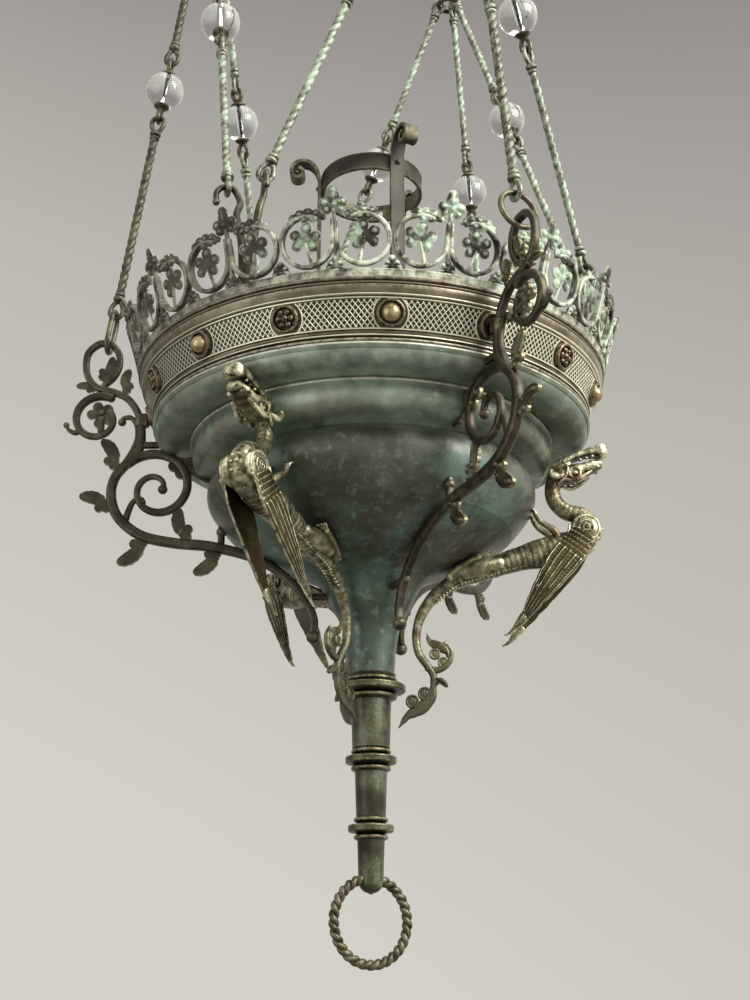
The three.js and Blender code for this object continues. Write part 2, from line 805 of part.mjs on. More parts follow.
// A winged beast in the profile plane: neck, body and tail in one sweep, an open-jawed
// head, two folded wings, legs that grip the bowl and a leafy tail.
function beastSolid() {
  const spine = through([
    [160, -61], [151.5, -70], [147, -82], [148.5, -94], [157, -103], [169, -107],
    [176, -117], [168, -128], [151, -133.5], [133, -138.5], [113, -144], [92, -151],
    [66, -161], [48, -175], [37, -195], [36.5, -217], [48, -236], [46.5, -250], [36, -262],
  ]);
  const girth = stations([
    [6, 5.5], [6, 5.5], [6.3, 6], [7, 6.6], [8, 8], [10.5, 11], [11.5, 13], [11.5, 12],
    [10, 10.5], [8.5, 9], [7, 7.5], [5.8, 6], [4.8, 5], [4.2, 4.4], [3.8, 4], [3.5, 3.6],
    [3.3, 3.3], [3.2, 3.2], [3, 3],
  ]);
  const skull = through([[152, -71.5], [163, -69.8], [175, -66.6], [186, -62]]);
  const jaw = through([[153, -63.5], [168, -55.5], [180, -52], [188, -51.3]]);
  const wing = through([[171, -121], [161, -136], [145, -157], [127.5, -182], [108, -206.5]]);
  const wingHalf = stations([[9, 2.4], [12.5, 2.4], [11, 2], [6.6, 1.6], [1.6, 1]]);
  const tailCurl = through([[42, -229], [52, -231], [62, -222], [58, -209], [47, -207]]);
  const parts = [
    bar(spine, 19, girth),
    bar(skull, 4, stations([[7, 8], [8, 11], [6, 10], [4, 8]])),
    bar(jaw, 3, stations([[3.6, 7], [2.6, 7], [3, 7.4], [5.4, 8.2]])),
    bar(tailCurl, 5, taper(3, 2.2)),
    leaf(60, -224, 41, -203, 15, 3),
    leaf(42, -256, 20, -277, 19, 3),
  ];
  for (const side of [-1, 1]) {
    const folded = bar(wing, 4, wingHalf, { strap: true, shift: 0 });
    folded.translate(0, 0, -shoulderRise);
    folded.rotateX(toRadians(side * wingLean));
    folded.translate(0, side * wingSpread, shoulderRise);
    const shoulderBoss = bead(171, -122, 11, 5, side * 12);
    const foreleg = bar(through([[150, -132], [143, -120], [128, -108]]), 2, taper(3.2, 2.4));
    foreleg.translate(0, side * 6, 0);
    const hindleg = bar(through([[104, -147], [92, -140], [84, -132]]), 2, taper(4.2, 3));
    hindleg.translate(0, side * 8, 0);
    parts.push(folded, shoulderBoss, foreleg, hindleg);
  }
  return join(parts);
}

// A forked fitting that stands inside the crown: a foot on the bowl's wall, two limbs
// and a hook at the top of each for the strands that lean sideways.
function fittingSolid() {
  const behindBand = bandThickness + seatGap + wall;
  const post = 2.2;
  const low = -24;
  const high = bandLipAbove + seatGap;
  const inside = (z) => bandFace(z) - behindBand - post;
  const stand = fittingRadius - 4;
  const foot = bar(through([
    [inside(low), low], [inside(high) - 0.6, high], [stand, high + 12], [stand, 40],
  ]), 6, () => [post, 7], { strap: true });
  const parts = [foot];
  const heading = strandHeading();
  for (const side of [-1, 1]) {
    const seat = new THREE.Vector3(fittingRadius, side * fittingSpread, fittingRise);
    const wireAlong = new THREE.Vector3(heading.y, side * heading.x, 0);
    const curve = new THREE.CatmullRomCurve3([
      new THREE.Vector3(stand, side * 3, 30),
      new THREE.Vector3(stand, side * 5, 60),
      seat.clone().addScaledVector(wireAlong, -10).add(new THREE.Vector3(0, 0, -12)),
      seat.clone().addScaledVector(wireAlong, -4.5).add(new THREE.Vector3(0, 0, -0.8)),
      seat,
      seat.clone().addScaledVector(wireAlong, 4.6).add(new THREE.Vector3(0, 0, -0.9)),
      seat.clone().addScaledVector(wireAlong, 8.5).add(new THREE.Vector3(0, 0, -6)),
      seat.clone().addScaledVector(wireAlong, 8.5).add(new THREE.Vector3(0, 0, -13)),
    ], false, 'centripetal');
    parts.push(wire(curve, 7, taper(4, linkWire)));
  }
  return join(parts);
}

// A round bar along a curve in space. Its section is carried from the highest point of the
// curve, where one corner of it is uppermost.
function wire(curve, steps, half, sides = 4) {
  const points = [];
  const tangents = [];
  for (let i = 0; i <= steps; i += 1) {
    points.push(curve.getPoint(i / steps));
    tangents.push(curve.getTangent(i / steps));
  }
  const top = points.reduce((best, p, i) => (p.z > points[best].z ? i : best), 0);
  const across = [];
  across[top] = new THREE.Vector3().crossVectors(up, tangents[top]).normalize();
  const carry = (from, to) => {
    const side = across[from].clone();
    across[to] = side.addScaledVector(tangents[to], -side.dot(tangents[to])).normalize();
  };
  for (let i = top; i < steps; i += 1) carry(i, i + 1);
  for (let i = top; i > 0; i -= 1) carry(i, i - 1);
  const rings = points.map((here, i) => {
    const rise = new THREE.Vector3().crossVectors(tangents[i], across[i]);
    const [size] = half(i / steps);
    return Array.from({ length: sides }, (_, j) => here.clone()
      .addScaledVector(rise, size * Math.cos(2 * Math.PI * j / sides))
      .addScaledVector(across[i], size * Math.sin(2 * Math.PI * j / sides)));
  });
  return skin(rings, false);
}

// The direction in which a sideways strand leaves its fitting, seen from above: x inwards
// to the axis and y towards the hub.
function strandHeading() {
  const apart = toRadians(60);
  const x = fittingRadius - hubRadius * Math.cos(apart);
  const y = hubRadius * Math.sin(apart) - fittingSpread;
  return new THREE.Vector2(x, y).normalize();
}

// A closed eye in a plane through the strand: its wire, centred at a height on the strand.
function eye(height, halfLength, halfWidth, size, steps = 6) {
  const path = (t) => new THREE.Vector2(
    halfWidth * Math.sin(2 * Math.PI * t), height - halfLength * Math.cos(2 * Math.PI * t));
  return bar(path, steps, () => [size, size], { closed: true });
}

// A turned rod along the strand from one height to another.
function turnedRod(profile, segments = 4) {
  const first = profile[0];
  const last = profile[profile.length - 1];
  return revolve([[0, first[1]], ...profile, [0, last[1]]], segments);
}

// A rod of the strand between two eye bends, with a knob beside each eye.
function rodBetween(low, high) {
  const foot = low + 2 * eyeHalfLength;
  const head = high - 2 * eyeHalfLength;
  return join(
    eye(low + eyeHalfLength, eyeHalfLength, eyeHalfWidth, eyeWire),
    eye(high - eyeHalfLength, eyeHalfLength, eyeHalfWidth, eyeWire),
    turnedRod([
      [2, foot - 0.5], [knobRadius, foot + knobLength / 2], [barHalf, foot + knobLength],
      [barHalf, head - knobLength], [knobRadius, head - knobLength / 2], [2, head + 0.5],
    ]),
  );
}

// The pin of a glass ball between two eye bends, with a bell cap on each side of the ball.
function pinBetween(low, high) {
  const middle = (low + high) / 2;
  const eyes = [low + pinEyeHalfLength, high - pinEyeHalfLength].map((height) => {
    const loop = eye(height, pinEyeHalfLength, pinEyeHalfWidth, pinWire);
    return loop.rotateZ(Math.PI / 2);
  });
  const seat = ballFlat + seatGap;
  const end = seat + capHeight;
  return join(...eyes, turnedRod([
    [3, middle - end], [capRadius, middle - seat], [pinRadius, middle - seat],
    [pinRadius, middle + seat], [capRadius, middle + seat], [3, middle + end],
  ], 5));
}

// A glass ball on the strand, bored for its pin and flattened where the caps sit.
function ballAt(middle) {
  const flatAngle = THREE.MathUtils.radToDeg(Math.asin(ballFlat / ballRadius));
  const round = [-flatAngle, -40, 0, 40, flatAngle].map((angle) => [
    ballRadius * Math.cos(toRadians(angle)), middle + ballRadius * Math.sin(toRadians(angle)),
  ]);
  return revolve([
    [ballBore, middle - ballFlat], ...round, [ballBore, middle + ballFlat],
  ], 8);
}

// A matrix that stands the strand's own height axis along the line from one point to
// another, with its first axis in the upright plane of the line.
function along(from, to) {
  const z = to.clone().sub(from).normalize();
  const y = new THREE.Vector3().crossVectors(up, z).normalize();
  const x = new THREE.Vector3().crossVectors(y, z);
  return new THREE.Matrix4().makeBasis(x, y, z).setPosition(from);
}

// A point given by radius, azimuth, height and a sideways shift.
function at(radius, azimuth, height, side = 0) {
  const a = toRadians(azimuth - 90);
  return new THREE.Vector3(
    radius * Math.cos(a) - side * Math.sin(a),
    radius * Math.sin(a) + side * Math.cos(a),
    height,
  );
}

// The four pieces of one strand, from its seat on a hook or link up to a hub ring.
function makeStrand(name, from, to, hookGap) {
  const stand = along(from, to);
  const length = from.distanceTo(to);
  const rodLow = -(linkWire + eyeWire + hookGap);
  const rodHigh = rodLow + lowerRodLength;
  const step = eyeWire + pinWire + linkGap;
  const pinLow = rodHigh - step;
  const pinHigh = pinLow + pinLength;
  const upperLow = pinHigh - step;
  const upperHigh = length + hubWire + eyeWire + tiltedGap;
  const place = (body) => geometryOf(body).applyMatrix4(stand);
  piece(`lower_rod_${name}`, place(rodBetween(rodLow, rodHigh)), 'verdigris');
  piece(`ball_pin_${name}`, place(pinBetween(pinLow, pinHigh)), 'darkBronze');
  piece(`upper_rod_${name}`, place(rodBetween(upperLow, upperHigh)), 'verdigris');
  const ball = ballAt((pinLow + pinHigh) / 2).applyMatrix4(stand);
  piece(`glass_ball_${name}`, ball, 'glass');
}

// The hub ring's point where a strand comes in from a given point.
function hubSeat(azimuth, from) {
  const hub = at(hubRadius, azimuth, hubRise);
  const heading = from.clone().sub(hub).setZ(0).normalize();
  return hub.addScaledVector(heading, hubRingRadius);
}

// A link that a strand stands on: an upright ring round the strap of a bracket's hook.
function makeLink(name, stand) {
  const height = linkHeights[name];
  const halfWidth = linkHalfWidths[name];
  const straight = height / 2 - halfWidth;
  const path = (t) => {
    const angle = 2 * Math.PI * t;
    const shift = Math.abs(Math.cos(angle)) < 1e-6 ? 0 : Math.sign(-Math.cos(angle)) * straight;
    return new THREE.Vector2(
      halfWidth * Math.sin(angle), height / 2 + shift - halfWidth * Math.cos(angle));
  };
  const ring = bar(path, 12, () => [linkWire, linkWire], { closed: true });
  ring.rotateZ(Math.PI / 2);
  piece(`bracket_link_${name}`, ring.applyMatrix4(stand), 'darkBronze');
}

// The bracket side of a hub: a link on the bracket's hook and the strand on the link.
function makeBracketStrand(name, azimuth) {
  const seat = hookHalf + linkWire + linkSeat;
  const hook = at(hookRadius, azimuth, hookRise - seat);
  const hub = hubSeat(azimuth, hook);
  const stand = along(hook, hub);
  makeLink(name, stand);
  const from = new THREE.Vector3(0, 0, linkHeights[name]).applyMatrix4(stand);
  makeStrand(name, from, hub, linkGap);
}

// The two sideways strands of a forked fitting, each to the hub on its own side.
function makeFittingStrands(name, azimuth) {
  for (const [side, label] of [[-1, 'a'], [1, 'b']]) {
    const from = at(fittingRadius, azimuth, fittingRise, side * fittingSpread);
    makeStrand(`${name}_${label}`, from, hubSeat(azimuth + side * 60, from), tiltedGap);
  }
}

// The height of the bail's lower bar, which the top rods hang on.
function bailBarHeight() {
  return hubRise + topRise;
}

// A top rod: the hub ring below, a straight rod and an eye round the bail's bar.
function makeTopRod(name, azimuth, eyeSide) {
  const ring = new THREE.TorusGeometry(hubRingRadius, hubWire, 4, 10);
  ring.translate(hubRadius, 0, hubRise);
  turn(ring, azimuth);
  const eyeRadius = bailWire + topEyeWire + 0.7;
  const loop = new THREE.TorusGeometry(eyeRadius, topEyeWire, 4, 8);
  loop.rotateZ(Math.PI / 8);
  loop.rotateY(Math.PI / 2);
  loop.translate(eyeSide, 0, bailBarHeight());
  const low = at(hubRadius - hubRingRadius, azimuth, hubRise);
  const high = new THREE.Vector3(eyeSide, 0, bailBarHeight() - eyeRadius);
  const length = low.distanceTo(high);
  const rod = turnedRod([
    [hubWire * 0.6, -1.5], [topRodHalf, 3], [topRodHalf, length - 14], [topEyeWire, length - 4],
    [topEyeWire * 0.6, length + 0.8],
  ]);
  rod.applyMatrix4(along(low, high));
  piece(`top_rod_${name}`, join(ring, loop, rod), 'darkBronze');
}

// The bail: a closed loop with a straight lower bar and a round top for a hook.
function makeBail() {
  const low = bailBarHeight();
  const points = [];
  for (let k = 0; k <= 10; k += 1) {
    const angle = Math.PI * k / 10;
    points.push([bailHalfWidth * Math.cos(angle), low + bailLeg + bailHalfWidth * Math.sin(angle)]);
  }
  points.push([-bailHalfWidth, low], [bailHalfWidth, low]);
  const corners = points.map(([x, z]) => new THREE.Vector2(x, z));
  const rings = corners.map((here, i) => {
    const before = corners[(i + corners.length - 1) % corners.length];
    const after = corners[(i + 1) % corners.length];
    const a = here.clone().sub(before).normalize();
    const b = after.clone().sub(here).normalize();
    const mitre = Math.sqrt((1 + a.dot(b)) / 2);
    const on = a.clone().add(b).normalize();
    return Array.from({ length: 6 }, (_, j) => {
      const u = bailWire * Math.cos(Math.PI * j / 3) / mitre;
      const v = bailWire * Math.sin(Math.PI * j / 3);
      return new THREE.Vector3(here.x - on.y * u, v, here.y + on.x * u);
    });
  });
  piece('hanging_bail', solid(skin(rings, true)), 'darkBronze');
}

// Assembly

makeBowl();
makeBand();
makeCrown();
makeFunnel();
makeStem();
makePullRing();
makeTieRod();
makeCupHolder();

const clearance = bodyClearance();
const bracket = bracketSolid();
const beast = beastSolid();
const fitting = fittingSolid();
const bowlWall = wallClearance();

// A fitting at its azimuth, cut back to stand a little off what it is fixed to.
function fitted(body, azimuth, away) {
  return solid(turn(geometryOf(body), azimuth)).subtract(away);
}

for (const [name, azimuth] of Object.entries(bracketAzimuths)) {
  piece(`scroll_bracket_${name}`, fitted(bracket, azimuth, clearance), 'darkBronze');
  makeBracketStrand(name, azimuth);
}
for (const [name, azimuth] of Object.entries(fittingAzimuths)) {
  piece(`winged_beast_${name}`, fitted(beast, azimuth, clearance), 'oliveBrass');
  piece(`crown_hook_${name}`, fitted(fitting, azimuth, bowlWall), 'darkBronze');
  makeFittingStrands(name, azimuth);
}

makeTopRod('left', bracketAzimuths.left, -topEyeSpacing);
makeTopRod('rear', bracketAzimuths.rear, 0);
makeTopRod('front', bracketAzimuths.front, topEyeSpacing);
makeBail();

// The lamp is lowered so that the inner top of the bail, where a hook holds it, is the origin.
const hangingPoint = bailBarHeight() + bailLeg + bailHalfWidth - bailWire;
for (const mesh of lamp.children) {
  mesh.geometry.translate(0, 0, -hangingPoint);
  mesh.geometry.computeVertexNormals();
}

export default lamp;
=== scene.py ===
"""Looks of the hanging bronze lamp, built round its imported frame.

Lengths are in millimetres and heights are measured from the upper edge of the lattice
band. Only when an object is made are they turned into metres and lowered, so that the
origin is the point where the lamp hangs. Azimuth 0 faces the viewer (-Y) and grows towards
+X. The profile plane is x outwards, y along the rim, z up.
"""

import logging
import math
from dataclasses import dataclass, field
from enum import Enum

import bmesh
import bpy
import numpy as np
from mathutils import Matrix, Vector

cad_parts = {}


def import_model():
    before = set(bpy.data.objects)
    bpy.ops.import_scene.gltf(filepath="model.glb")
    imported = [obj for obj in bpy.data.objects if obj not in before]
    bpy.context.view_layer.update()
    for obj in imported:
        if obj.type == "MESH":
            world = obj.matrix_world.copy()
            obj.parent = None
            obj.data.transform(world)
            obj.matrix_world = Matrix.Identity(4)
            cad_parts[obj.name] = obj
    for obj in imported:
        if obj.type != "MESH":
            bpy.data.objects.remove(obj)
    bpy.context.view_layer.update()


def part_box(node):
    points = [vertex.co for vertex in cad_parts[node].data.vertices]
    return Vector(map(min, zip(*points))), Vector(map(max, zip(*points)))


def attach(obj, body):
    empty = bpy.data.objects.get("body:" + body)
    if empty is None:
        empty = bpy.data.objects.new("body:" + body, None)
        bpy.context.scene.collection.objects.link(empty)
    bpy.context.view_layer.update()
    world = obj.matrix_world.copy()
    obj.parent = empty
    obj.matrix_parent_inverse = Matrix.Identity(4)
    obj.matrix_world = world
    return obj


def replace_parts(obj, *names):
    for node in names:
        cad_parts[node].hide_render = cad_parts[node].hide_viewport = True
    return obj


log = logging.getLogger("lamp")

HANG_HEIGHT = 830.5

# Places shared by several sub-assemblies
BRACKETS = {"left": -90.0, "front": 30.0, "rear": 150.0}
FITTINGS = {"front_left": -30.0, "right": 90.0, "rear_left": -150.0}
BAND_RADIUS = 190.0
BAND_LEAN = 12.0 / 33.0


class Body(Enum):
    """Bodies of the frame that pieces ride on."""

    HANGING = "hanging"
    LAMP = "lamp"
    RING = "pull_ring"


class Slot(Enum):
    """Material slots of the record."""

    PATINA = "patinated_bronze"
    VERDIGRIS = "verdigris_bronze"
    GILT = "bronze_gilt"
    DARK = "dark_bronze"
    GLASS = "glass"


# Surfaces


@dataclass
class Surface:
    """A mesh in millimetres: corners, four-sided faces and their UVs."""

    verts: np.ndarray
    quads: np.ndarray
    quad_uv: np.ndarray

    def moved(self, matrix: np.ndarray) -> "Surface":
        """The surface under a 4 by 4 matrix.

        Args:
            matrix: rows of the affine matrix, in millimetres.

        Returns:
            A new surface with the same faces.
        """
        verts = self.verts @ matrix[:3, :3].T + matrix[:3, 3]
        return Surface(verts, self.quads, self.quad_uv)


def joined(surfaces: list[Surface]) -> Surface:
    """One surface that holds several.

    Args:
        surfaces: the surfaces, at least one.

    Returns:
        The surface with all their corners and faces.
    """
    starts = np.cumsum([0] + [len(s.verts) for s in surfaces[:-1]])
    return Surface(
        np.concatenate([s.verts for s in surfaces]),
        np.concatenate([s.quads + start for s, start in zip(surfaces, starts)]),
        np.concatenate([s.quad_uv for s in surfaces]),
    )


def grid(points: np.ndarray, closed_u: bool = False, closed_v: bool = False,
         u: np.ndarray | None = None, v: np.ndarray | None = None) -> Surface:
    """A net of quads over a grid of points.

    Args:
        points: array (nu, nv, 3) in millimetres.
        closed_u: joins the last row to the first.
        closed_v: joins the last column to the first.
        u: UV coordinate of each row, one more value where rows are closed.
        v: UV coordinate of each column, one more value where columns are closed.

    Returns:
        The surface.
    """
    nu, nv = points.shape[:2]
    mu = nu if closed_u else nu - 1
    mv = nv if closed_v else nv - 1
    u = np.linspace(0, 1, mu + 1) if u is None else np.asarray(u, float)
    v = np.linspace(0, 1, mv + 1) if v is None else np.asarray(v, float)
    i, j = np.meshgrid(np.arange(mu), np.arange(mv), indexing="ij")
    i2, j2 = (i + 1) % nu, (j + 1) % nv
    quads = np.stack([i * nv + j, i2 * nv + j, i2 * nv + j2, i * nv + j2], -1)
    uv = np.stack([
        np.stack([u[i], v[j]], -1), np.stack([u[i + 1], v[j]], -1),
        np.stack([u[i + 1], v[j + 1]], -1), np.stack([u[i], v[j + 1]], -1),
    ], 2)
    return Surface(points.reshape(-1, 3), quads.reshape(-1, 4), uv.reshape(-1, 4, 2))


def arc(cx: float, cz: float, radius: float, start: float, end: float, count: int) -> list:
    """Points on an arc of the profile plane.

    Args:
        cx: centre's distance from the axis.
        cz: centre's height.
        radius: radius of the arc.
        start: first angle in degrees, 0 outwards and 90 up.
        end: last angle in degrees.
        count: number of points.

    Returns:
        Pairs (r, z).
    """
    a = np.radians(np.linspace(start, end, count))
    return list(zip(cx + radius * np.cos(a), cz + radius * np.sin(a)))


def lathe(profile: list, segments: int = 192, closed: bool = True) -> Surface:
    """A surface of revolution round the lamp's axis.

    The point of profile corner k at angle a is (r_k cos a, r_k sin a, z_k), and U runs once
    round while V is the length along the profile in millimetres.

    Args:
        profile: pairs (r, z).
        segments: facets round the axis.
        closed: joins the profile's last pair to its first.

    Returns:
        The surface.
    """
    p = np.asarray(profile, float)
    a = np.linspace(0, 2 * math.pi, segments, endpoint=False)[:, None]
    points = np.stack([p[:, 0] * np.cos(a), p[:, 0] * np.sin(a), p[:, 1] + 0 * a], -1)
    loop = np.vstack([p, p[:1]]) if closed else p
    v = np.concatenate([[0], np.cumsum(np.hypot(*np.diff(loop, axis=0).T))])
    return grid(points, True, closed, None, v)


def smooth(points: list, count: int) -> np.ndarray:
    """An evenly spaced smooth line through points (Catmull-Rom).

    Args:
        points: the points that it passes, of two or three coordinates.
        count: number of points on the line.

    Returns:
        Array (count, dimensions).
    """
    p = np.asarray(points, float)
    e = np.vstack([2 * p[0] - p[1], p, 2 * p[-1] - p[-2]])
    t = np.linspace(0, 1, 24, endpoint=False)[None, :, None]
    a, b, c, d = (e[k:len(e) - 3 + k, None] for k in range(4))
    q = 0.5 * (2 * b + (c - a) * t + (2 * a - 5 * b + 4 * c - d) * t ** 2
               + (3 * b - a - 3 * c + d) * t ** 3)
    line = np.vstack([q.reshape(-1, p.shape[1]), p[-1:]])
    s = np.concatenate([[0], np.cumsum(np.linalg.norm(np.diff(line, axis=0), axis=1))])
    even = np.linspace(0, s[-1], count)
    return np.stack([np.interp(even, s, line[:, k]) for k in range(p.shape[1])], -1)


def spread(values: list, count: int) -> np.ndarray:
    """Values at even stations, filled in between.

    Args:
        values: numbers from one end to the other.
        count: number of stations wanted.

    Returns:
        Array of that many numbers.
    """
    v = np.asarray(values, float)
    x = np.linspace(0, len(v) - 1, count)
    i = np.clip(x.astype(int), 0, len(v) - 2)
    f = x - i
    f = f * f * (3 - 2 * f)
    return v[i] * (1 - f) + v[i + 1] * f


def in_profile(line: np.ndarray, side: float = 0.0) -> np.ndarray:
    """Profile pairs (r, z) as points in space.

    Args:
        line: array (n, 2).
        side: place along the rim.

    Returns:
        Array (n, 3).
    """
    return np.stack([line[:, 0], np.full(len(line), side), line[:, 1]], -1)


def spiral(cx: float, cz: float, start_radius: float, end_radius: float, start: float,
           end: float, count: int) -> np.ndarray:
    """A scroll in the profile plane, r(a) linear in the angle a.

    Args:
        cx: centre's distance from the axis.
        cz: centre's height.
        start_radius: radius at the first angle.
        end_radius: radius at the last angle.
        start: first angle in degrees.
        end: last angle in degrees.
        count: number of points.

    Returns:
        Array (count, 3).
    """
    a = np.radians(np.linspace(start, end, count))
    r = np.linspace(start_radius, end_radius, count)
    return in_profile(np.stack([cx + r * np.cos(a), cz + r * np.sin(a)], -1))


def section(sides: int, power: float = 1.0) -> np.ndarray:
    """A unit section: round at power 1, a strap with soft corners at small powers.

    Its points are (sign(c)|c|^power, sign(s)|s|^power) with c, s the cosine and sine.

    Args:
        sides: number of points.
        power: exponent.

    Returns:
        Array (sides, 2).
    """
    a = np.linspace(0, 2 * math.pi, sides, endpoint=False) + math.pi / sides
    c, s = np.cos(a), np.sin(a)
    return np.stack([np.sign(c) * abs(c) ** power, np.sign(s) * abs(s) ** power], -1)


ROUND = section(12)
FINE = section(20)
STRAP = section(16, 0.4)


def sweep(path: np.ndarray, plane: float | np.ndarray, across: float | np.ndarray,
          shape: np.ndarray = ROUND, normal: tuple | None = (0, 1, 0),
          turn: np.ndarray | None = None, closed: bool = False) -> Surface:
    """A bar whose section is carried along a line.

    Section point (a, b) at station i lies at path_i + a plane_i n_i + b across_i m_i, where
    m is the given normal (or one carried along the line) and n = m x tangent. Open ends
    are rounded over.

    Args:
        path: array (n, 3).
        plane: half sizes in the line's plane.
        across: half sizes across it.
        shape: unit section, array (s, 2).
        normal: normal of the line's plane, or None for a line in space.
        turn: angle of the section at each station, in radians, or None.
        closed: joins the end to the start.

    Returns:
        The surface, with U round the section and V along the line in millimetres.
    """
    n = len(path)
    plane = np.broadcast_to(np.asarray(plane, float), n)
    across = np.broadcast_to(np.asarray(across, float), n)
    if closed:
        tangent = np.roll(path, -1, 0) - np.roll(path, 1, 0)
    else:
        tangent = np.gradient(path, axis=0)
    tangent = tangent / np.linalg.norm(tangent, axis=1, keepdims=True)
    if normal is not None:
        m = np.broadcast_to(np.asarray(normal, float), (n, 3))
        m = m - tangent * np.sum(m * tangent, 1, keepdims=True)
    else:
        m = np.zeros((n, 3))
        guess = np.cross(tangent[0], (0, 0, 1.0))
        m[0] = guess if np.linalg.norm(guess) > 0.1 else (0, 1, 0)
        for k in range(1, n):
            m[k] = m[k - 1] - tangent[k] * (m[k - 1] @ tangent[k])
            m[k] /= np.linalg.norm(m[k])
    m = m / np.linalg.norm(m, axis=1, keepdims=True)
    out = np.cross(m, tangent)
    if not closed:
        a = np.radians([90, 60, 30])
        cap0, cap1 = min(plane[0], across[0]), min(plane[-1], across[-1])
        first = path[0] - tangent[0] * (cap0 * np.sin(a))[:, None]
        last = path[-1] + tangent[-1] * (cap1 * np.sin(a[::-1]))[:, None]
        path = np.vstack([first, path, last])
        low, high = np.cos(a), np.cos(a[::-1])
        plane = np.concatenate([plane[0] * low, plane, plane[-1] * high])
        across = np.concatenate([across[0] * low, across, across[-1] * high])
        m = np.vstack([m[:1]] * 3 + [m] + [m[-1:]] * 3)
        out = np.vstack([out[:1]] * 3 + [out] + [out[-1:]] * 3)
        if turn is not None:
            turn = np.concatenate([[turn[0]] * 3, turn, [turn[-1]] * 3])
    a, b = shape[None, :, 0], shape[None, :, 1]
    if turn is not None:
        c, s = np.cos(turn)[:, None], np.sin(turn)[:, None]
        a, b = a * c - b * s, a * s + b * c
    points = (path[:, None] + (a * plane[:, None])[..., None] * out[:, None]
              + (b * across[:, None])[..., None] * m[:, None])
    line = np.vstack([path, path[:1]]) if closed else path
    v = np.concatenate([[0], np.cumsum(np.linalg.norm(np.diff(line, axis=0), axis=1))])
    return grid(points, closed, True, v, None)


def bar(points: list, plane: list | float, across: list | float, count: int,
        shape: np.ndarray = ROUND, normal: tuple | None = (0, 1, 0)) -> Surface:
    """A bar swept along a smooth line through points, its sizes running evenly along it.

    Args:
        points: points in space, or pairs (r, z) of the profile plane.
        plane: half sizes in the line's plane, from end to end, or one for all.
        across: half sizes across it.
        count: stations along the line.
        shape: unit section, array (s, 2).
        normal: normal of the line's plane, or None for a line in space.

    Returns:
        The surface.
    """
    line = smooth(points, count)
    if line.shape[1] == 2:
        line = in_profile(line)
    sizes = [spread(size, count) if isinstance(size, list) else size for size in (plane, across)]
    return sweep(line, *sizes, shape, normal)


def ball(x: float, y: float, z: float, radius: float, across: float | None = None) -> Surface:
    """A round bead.

    Args:
        x: place outwards.
        y: place along the rim.
        z: height.
        radius: radius in the profile plane.
        across: radius along the rim, or None for the same.

    Returns:
        The surface.
    """
    a = np.linspace(-math.pi / 2, math.pi / 2, 13)[:, None]
    b = np.linspace(0, 2 * math.pi, 20, endpoint=False)[None]
    points = np.stack(np.broadcast_arrays(
        x + radius * np.cos(a) * np.cos(b),
        y + (across or radius) * np.cos(a) * np.sin(b),
        z + radius * np.sin(a)), -1)
    return grid(points, False, True)


def foliage(lobes: list, thickness: float, relief: float, rings: int = 6,
            around: int = 44, centre: tuple = (0.0, 0.0), curl: float = 0.0) -> Surface:
    """A cast leaf with round lobes, each with a swelling, flat at the back.

    The edge is r(a) = max over lobes of d cos(a-b) + sqrt(p^2 - d^2 sin^2(a-b)), where d, b
    give the lobe's centre and p its radius. The face rises by relief exp(-(x/0.55p)^2) over
    each lobe at distance x from its centre.

    Args:
        lobes: (x, y, radius) of each lobe in the leaf's plane.
        thickness: thickness at the edge.
        relief: height of the swellings.
        rings: steps from the centre to the edge.
        around: steps round the edge.
        centre: point that all of the edge can be seen from.
        curl: how far the leaf bends out of its plane per square millimetre.

    Returns:
        The surface, in the plane z = 0 with the face towards +z.
    """
    lobe = np.asarray(lobes, float)
    dx, dy, p = lobe[:, 0] - centre[0], lobe[:, 1] - centre[1], lobe[:, 2]
    d, b = np.hypot(dx, dy), np.arctan2(dy, dx)
    a = np.linspace(0, 2 * math.pi, around, endpoint=False)[:, None]
    under = p ** 2 - (d * np.sin(a - b)) ** 2
    reach = d * np.cos(a - b) + np.sqrt(np.maximum(under, 0))
    edge = np.maximum(np.where(under > 0, reach, 0).max(1), 0.35 * p.min())
    share = np.sin(np.linspace(0, math.pi / 2, rings + 1))[None]
    x = centre[0] + edge[:, None] * share * np.cos(a)
    y = centre[1] + edge[:, None] * share * np.sin(a)
    gap = np.hypot(x[..., None] - lobe[:, 0], y[..., None] - lobe[:, 1]) / (0.55 * p)
    height = relief * np.exp(-gap ** 2).max(-1) * np.sqrt(np.maximum(1 - share ** 6, 0))
    bend = curl * (x ** 2 + y ** 2)
    face = np.stack([x, y, thickness / 2 + height + bend], -1)
    back = np.stack([x, y, bend - thickness / 2], -1)[:, ::-1]
    return grid(np.concatenate([face, back], 1), True, False)


# Placing


def turned(azimuth: float) -> np.ndarray:
    """The matrix that turns the profile plane to an azimuth.

    Args:
        azimuth: degrees from the viewer's side towards +X.

    Returns:
        4 by 4 matrix.
    """
    a = math.radians(azimuth - 90)
    m = np.eye(4)
    m[:2, :2] = [[math.cos(a), -math.sin(a)], [math.sin(a), math.cos(a)]]
    return m


def frame_matrix(x: tuple, y: tuple, z: tuple, origin: tuple) -> np.ndarray:
    """A matrix from three axes and an origin.

    Args:
        x: first axis.
        y: second axis.
        z: third axis.
        origin: where the axes meet.

    Returns:
        4 by 4 matrix.
    """
    m = np.eye(4)
    m[:3, 0], m[:3, 1], m[:3, 2], m[:3, 3] = x, y, z, origin
    return m


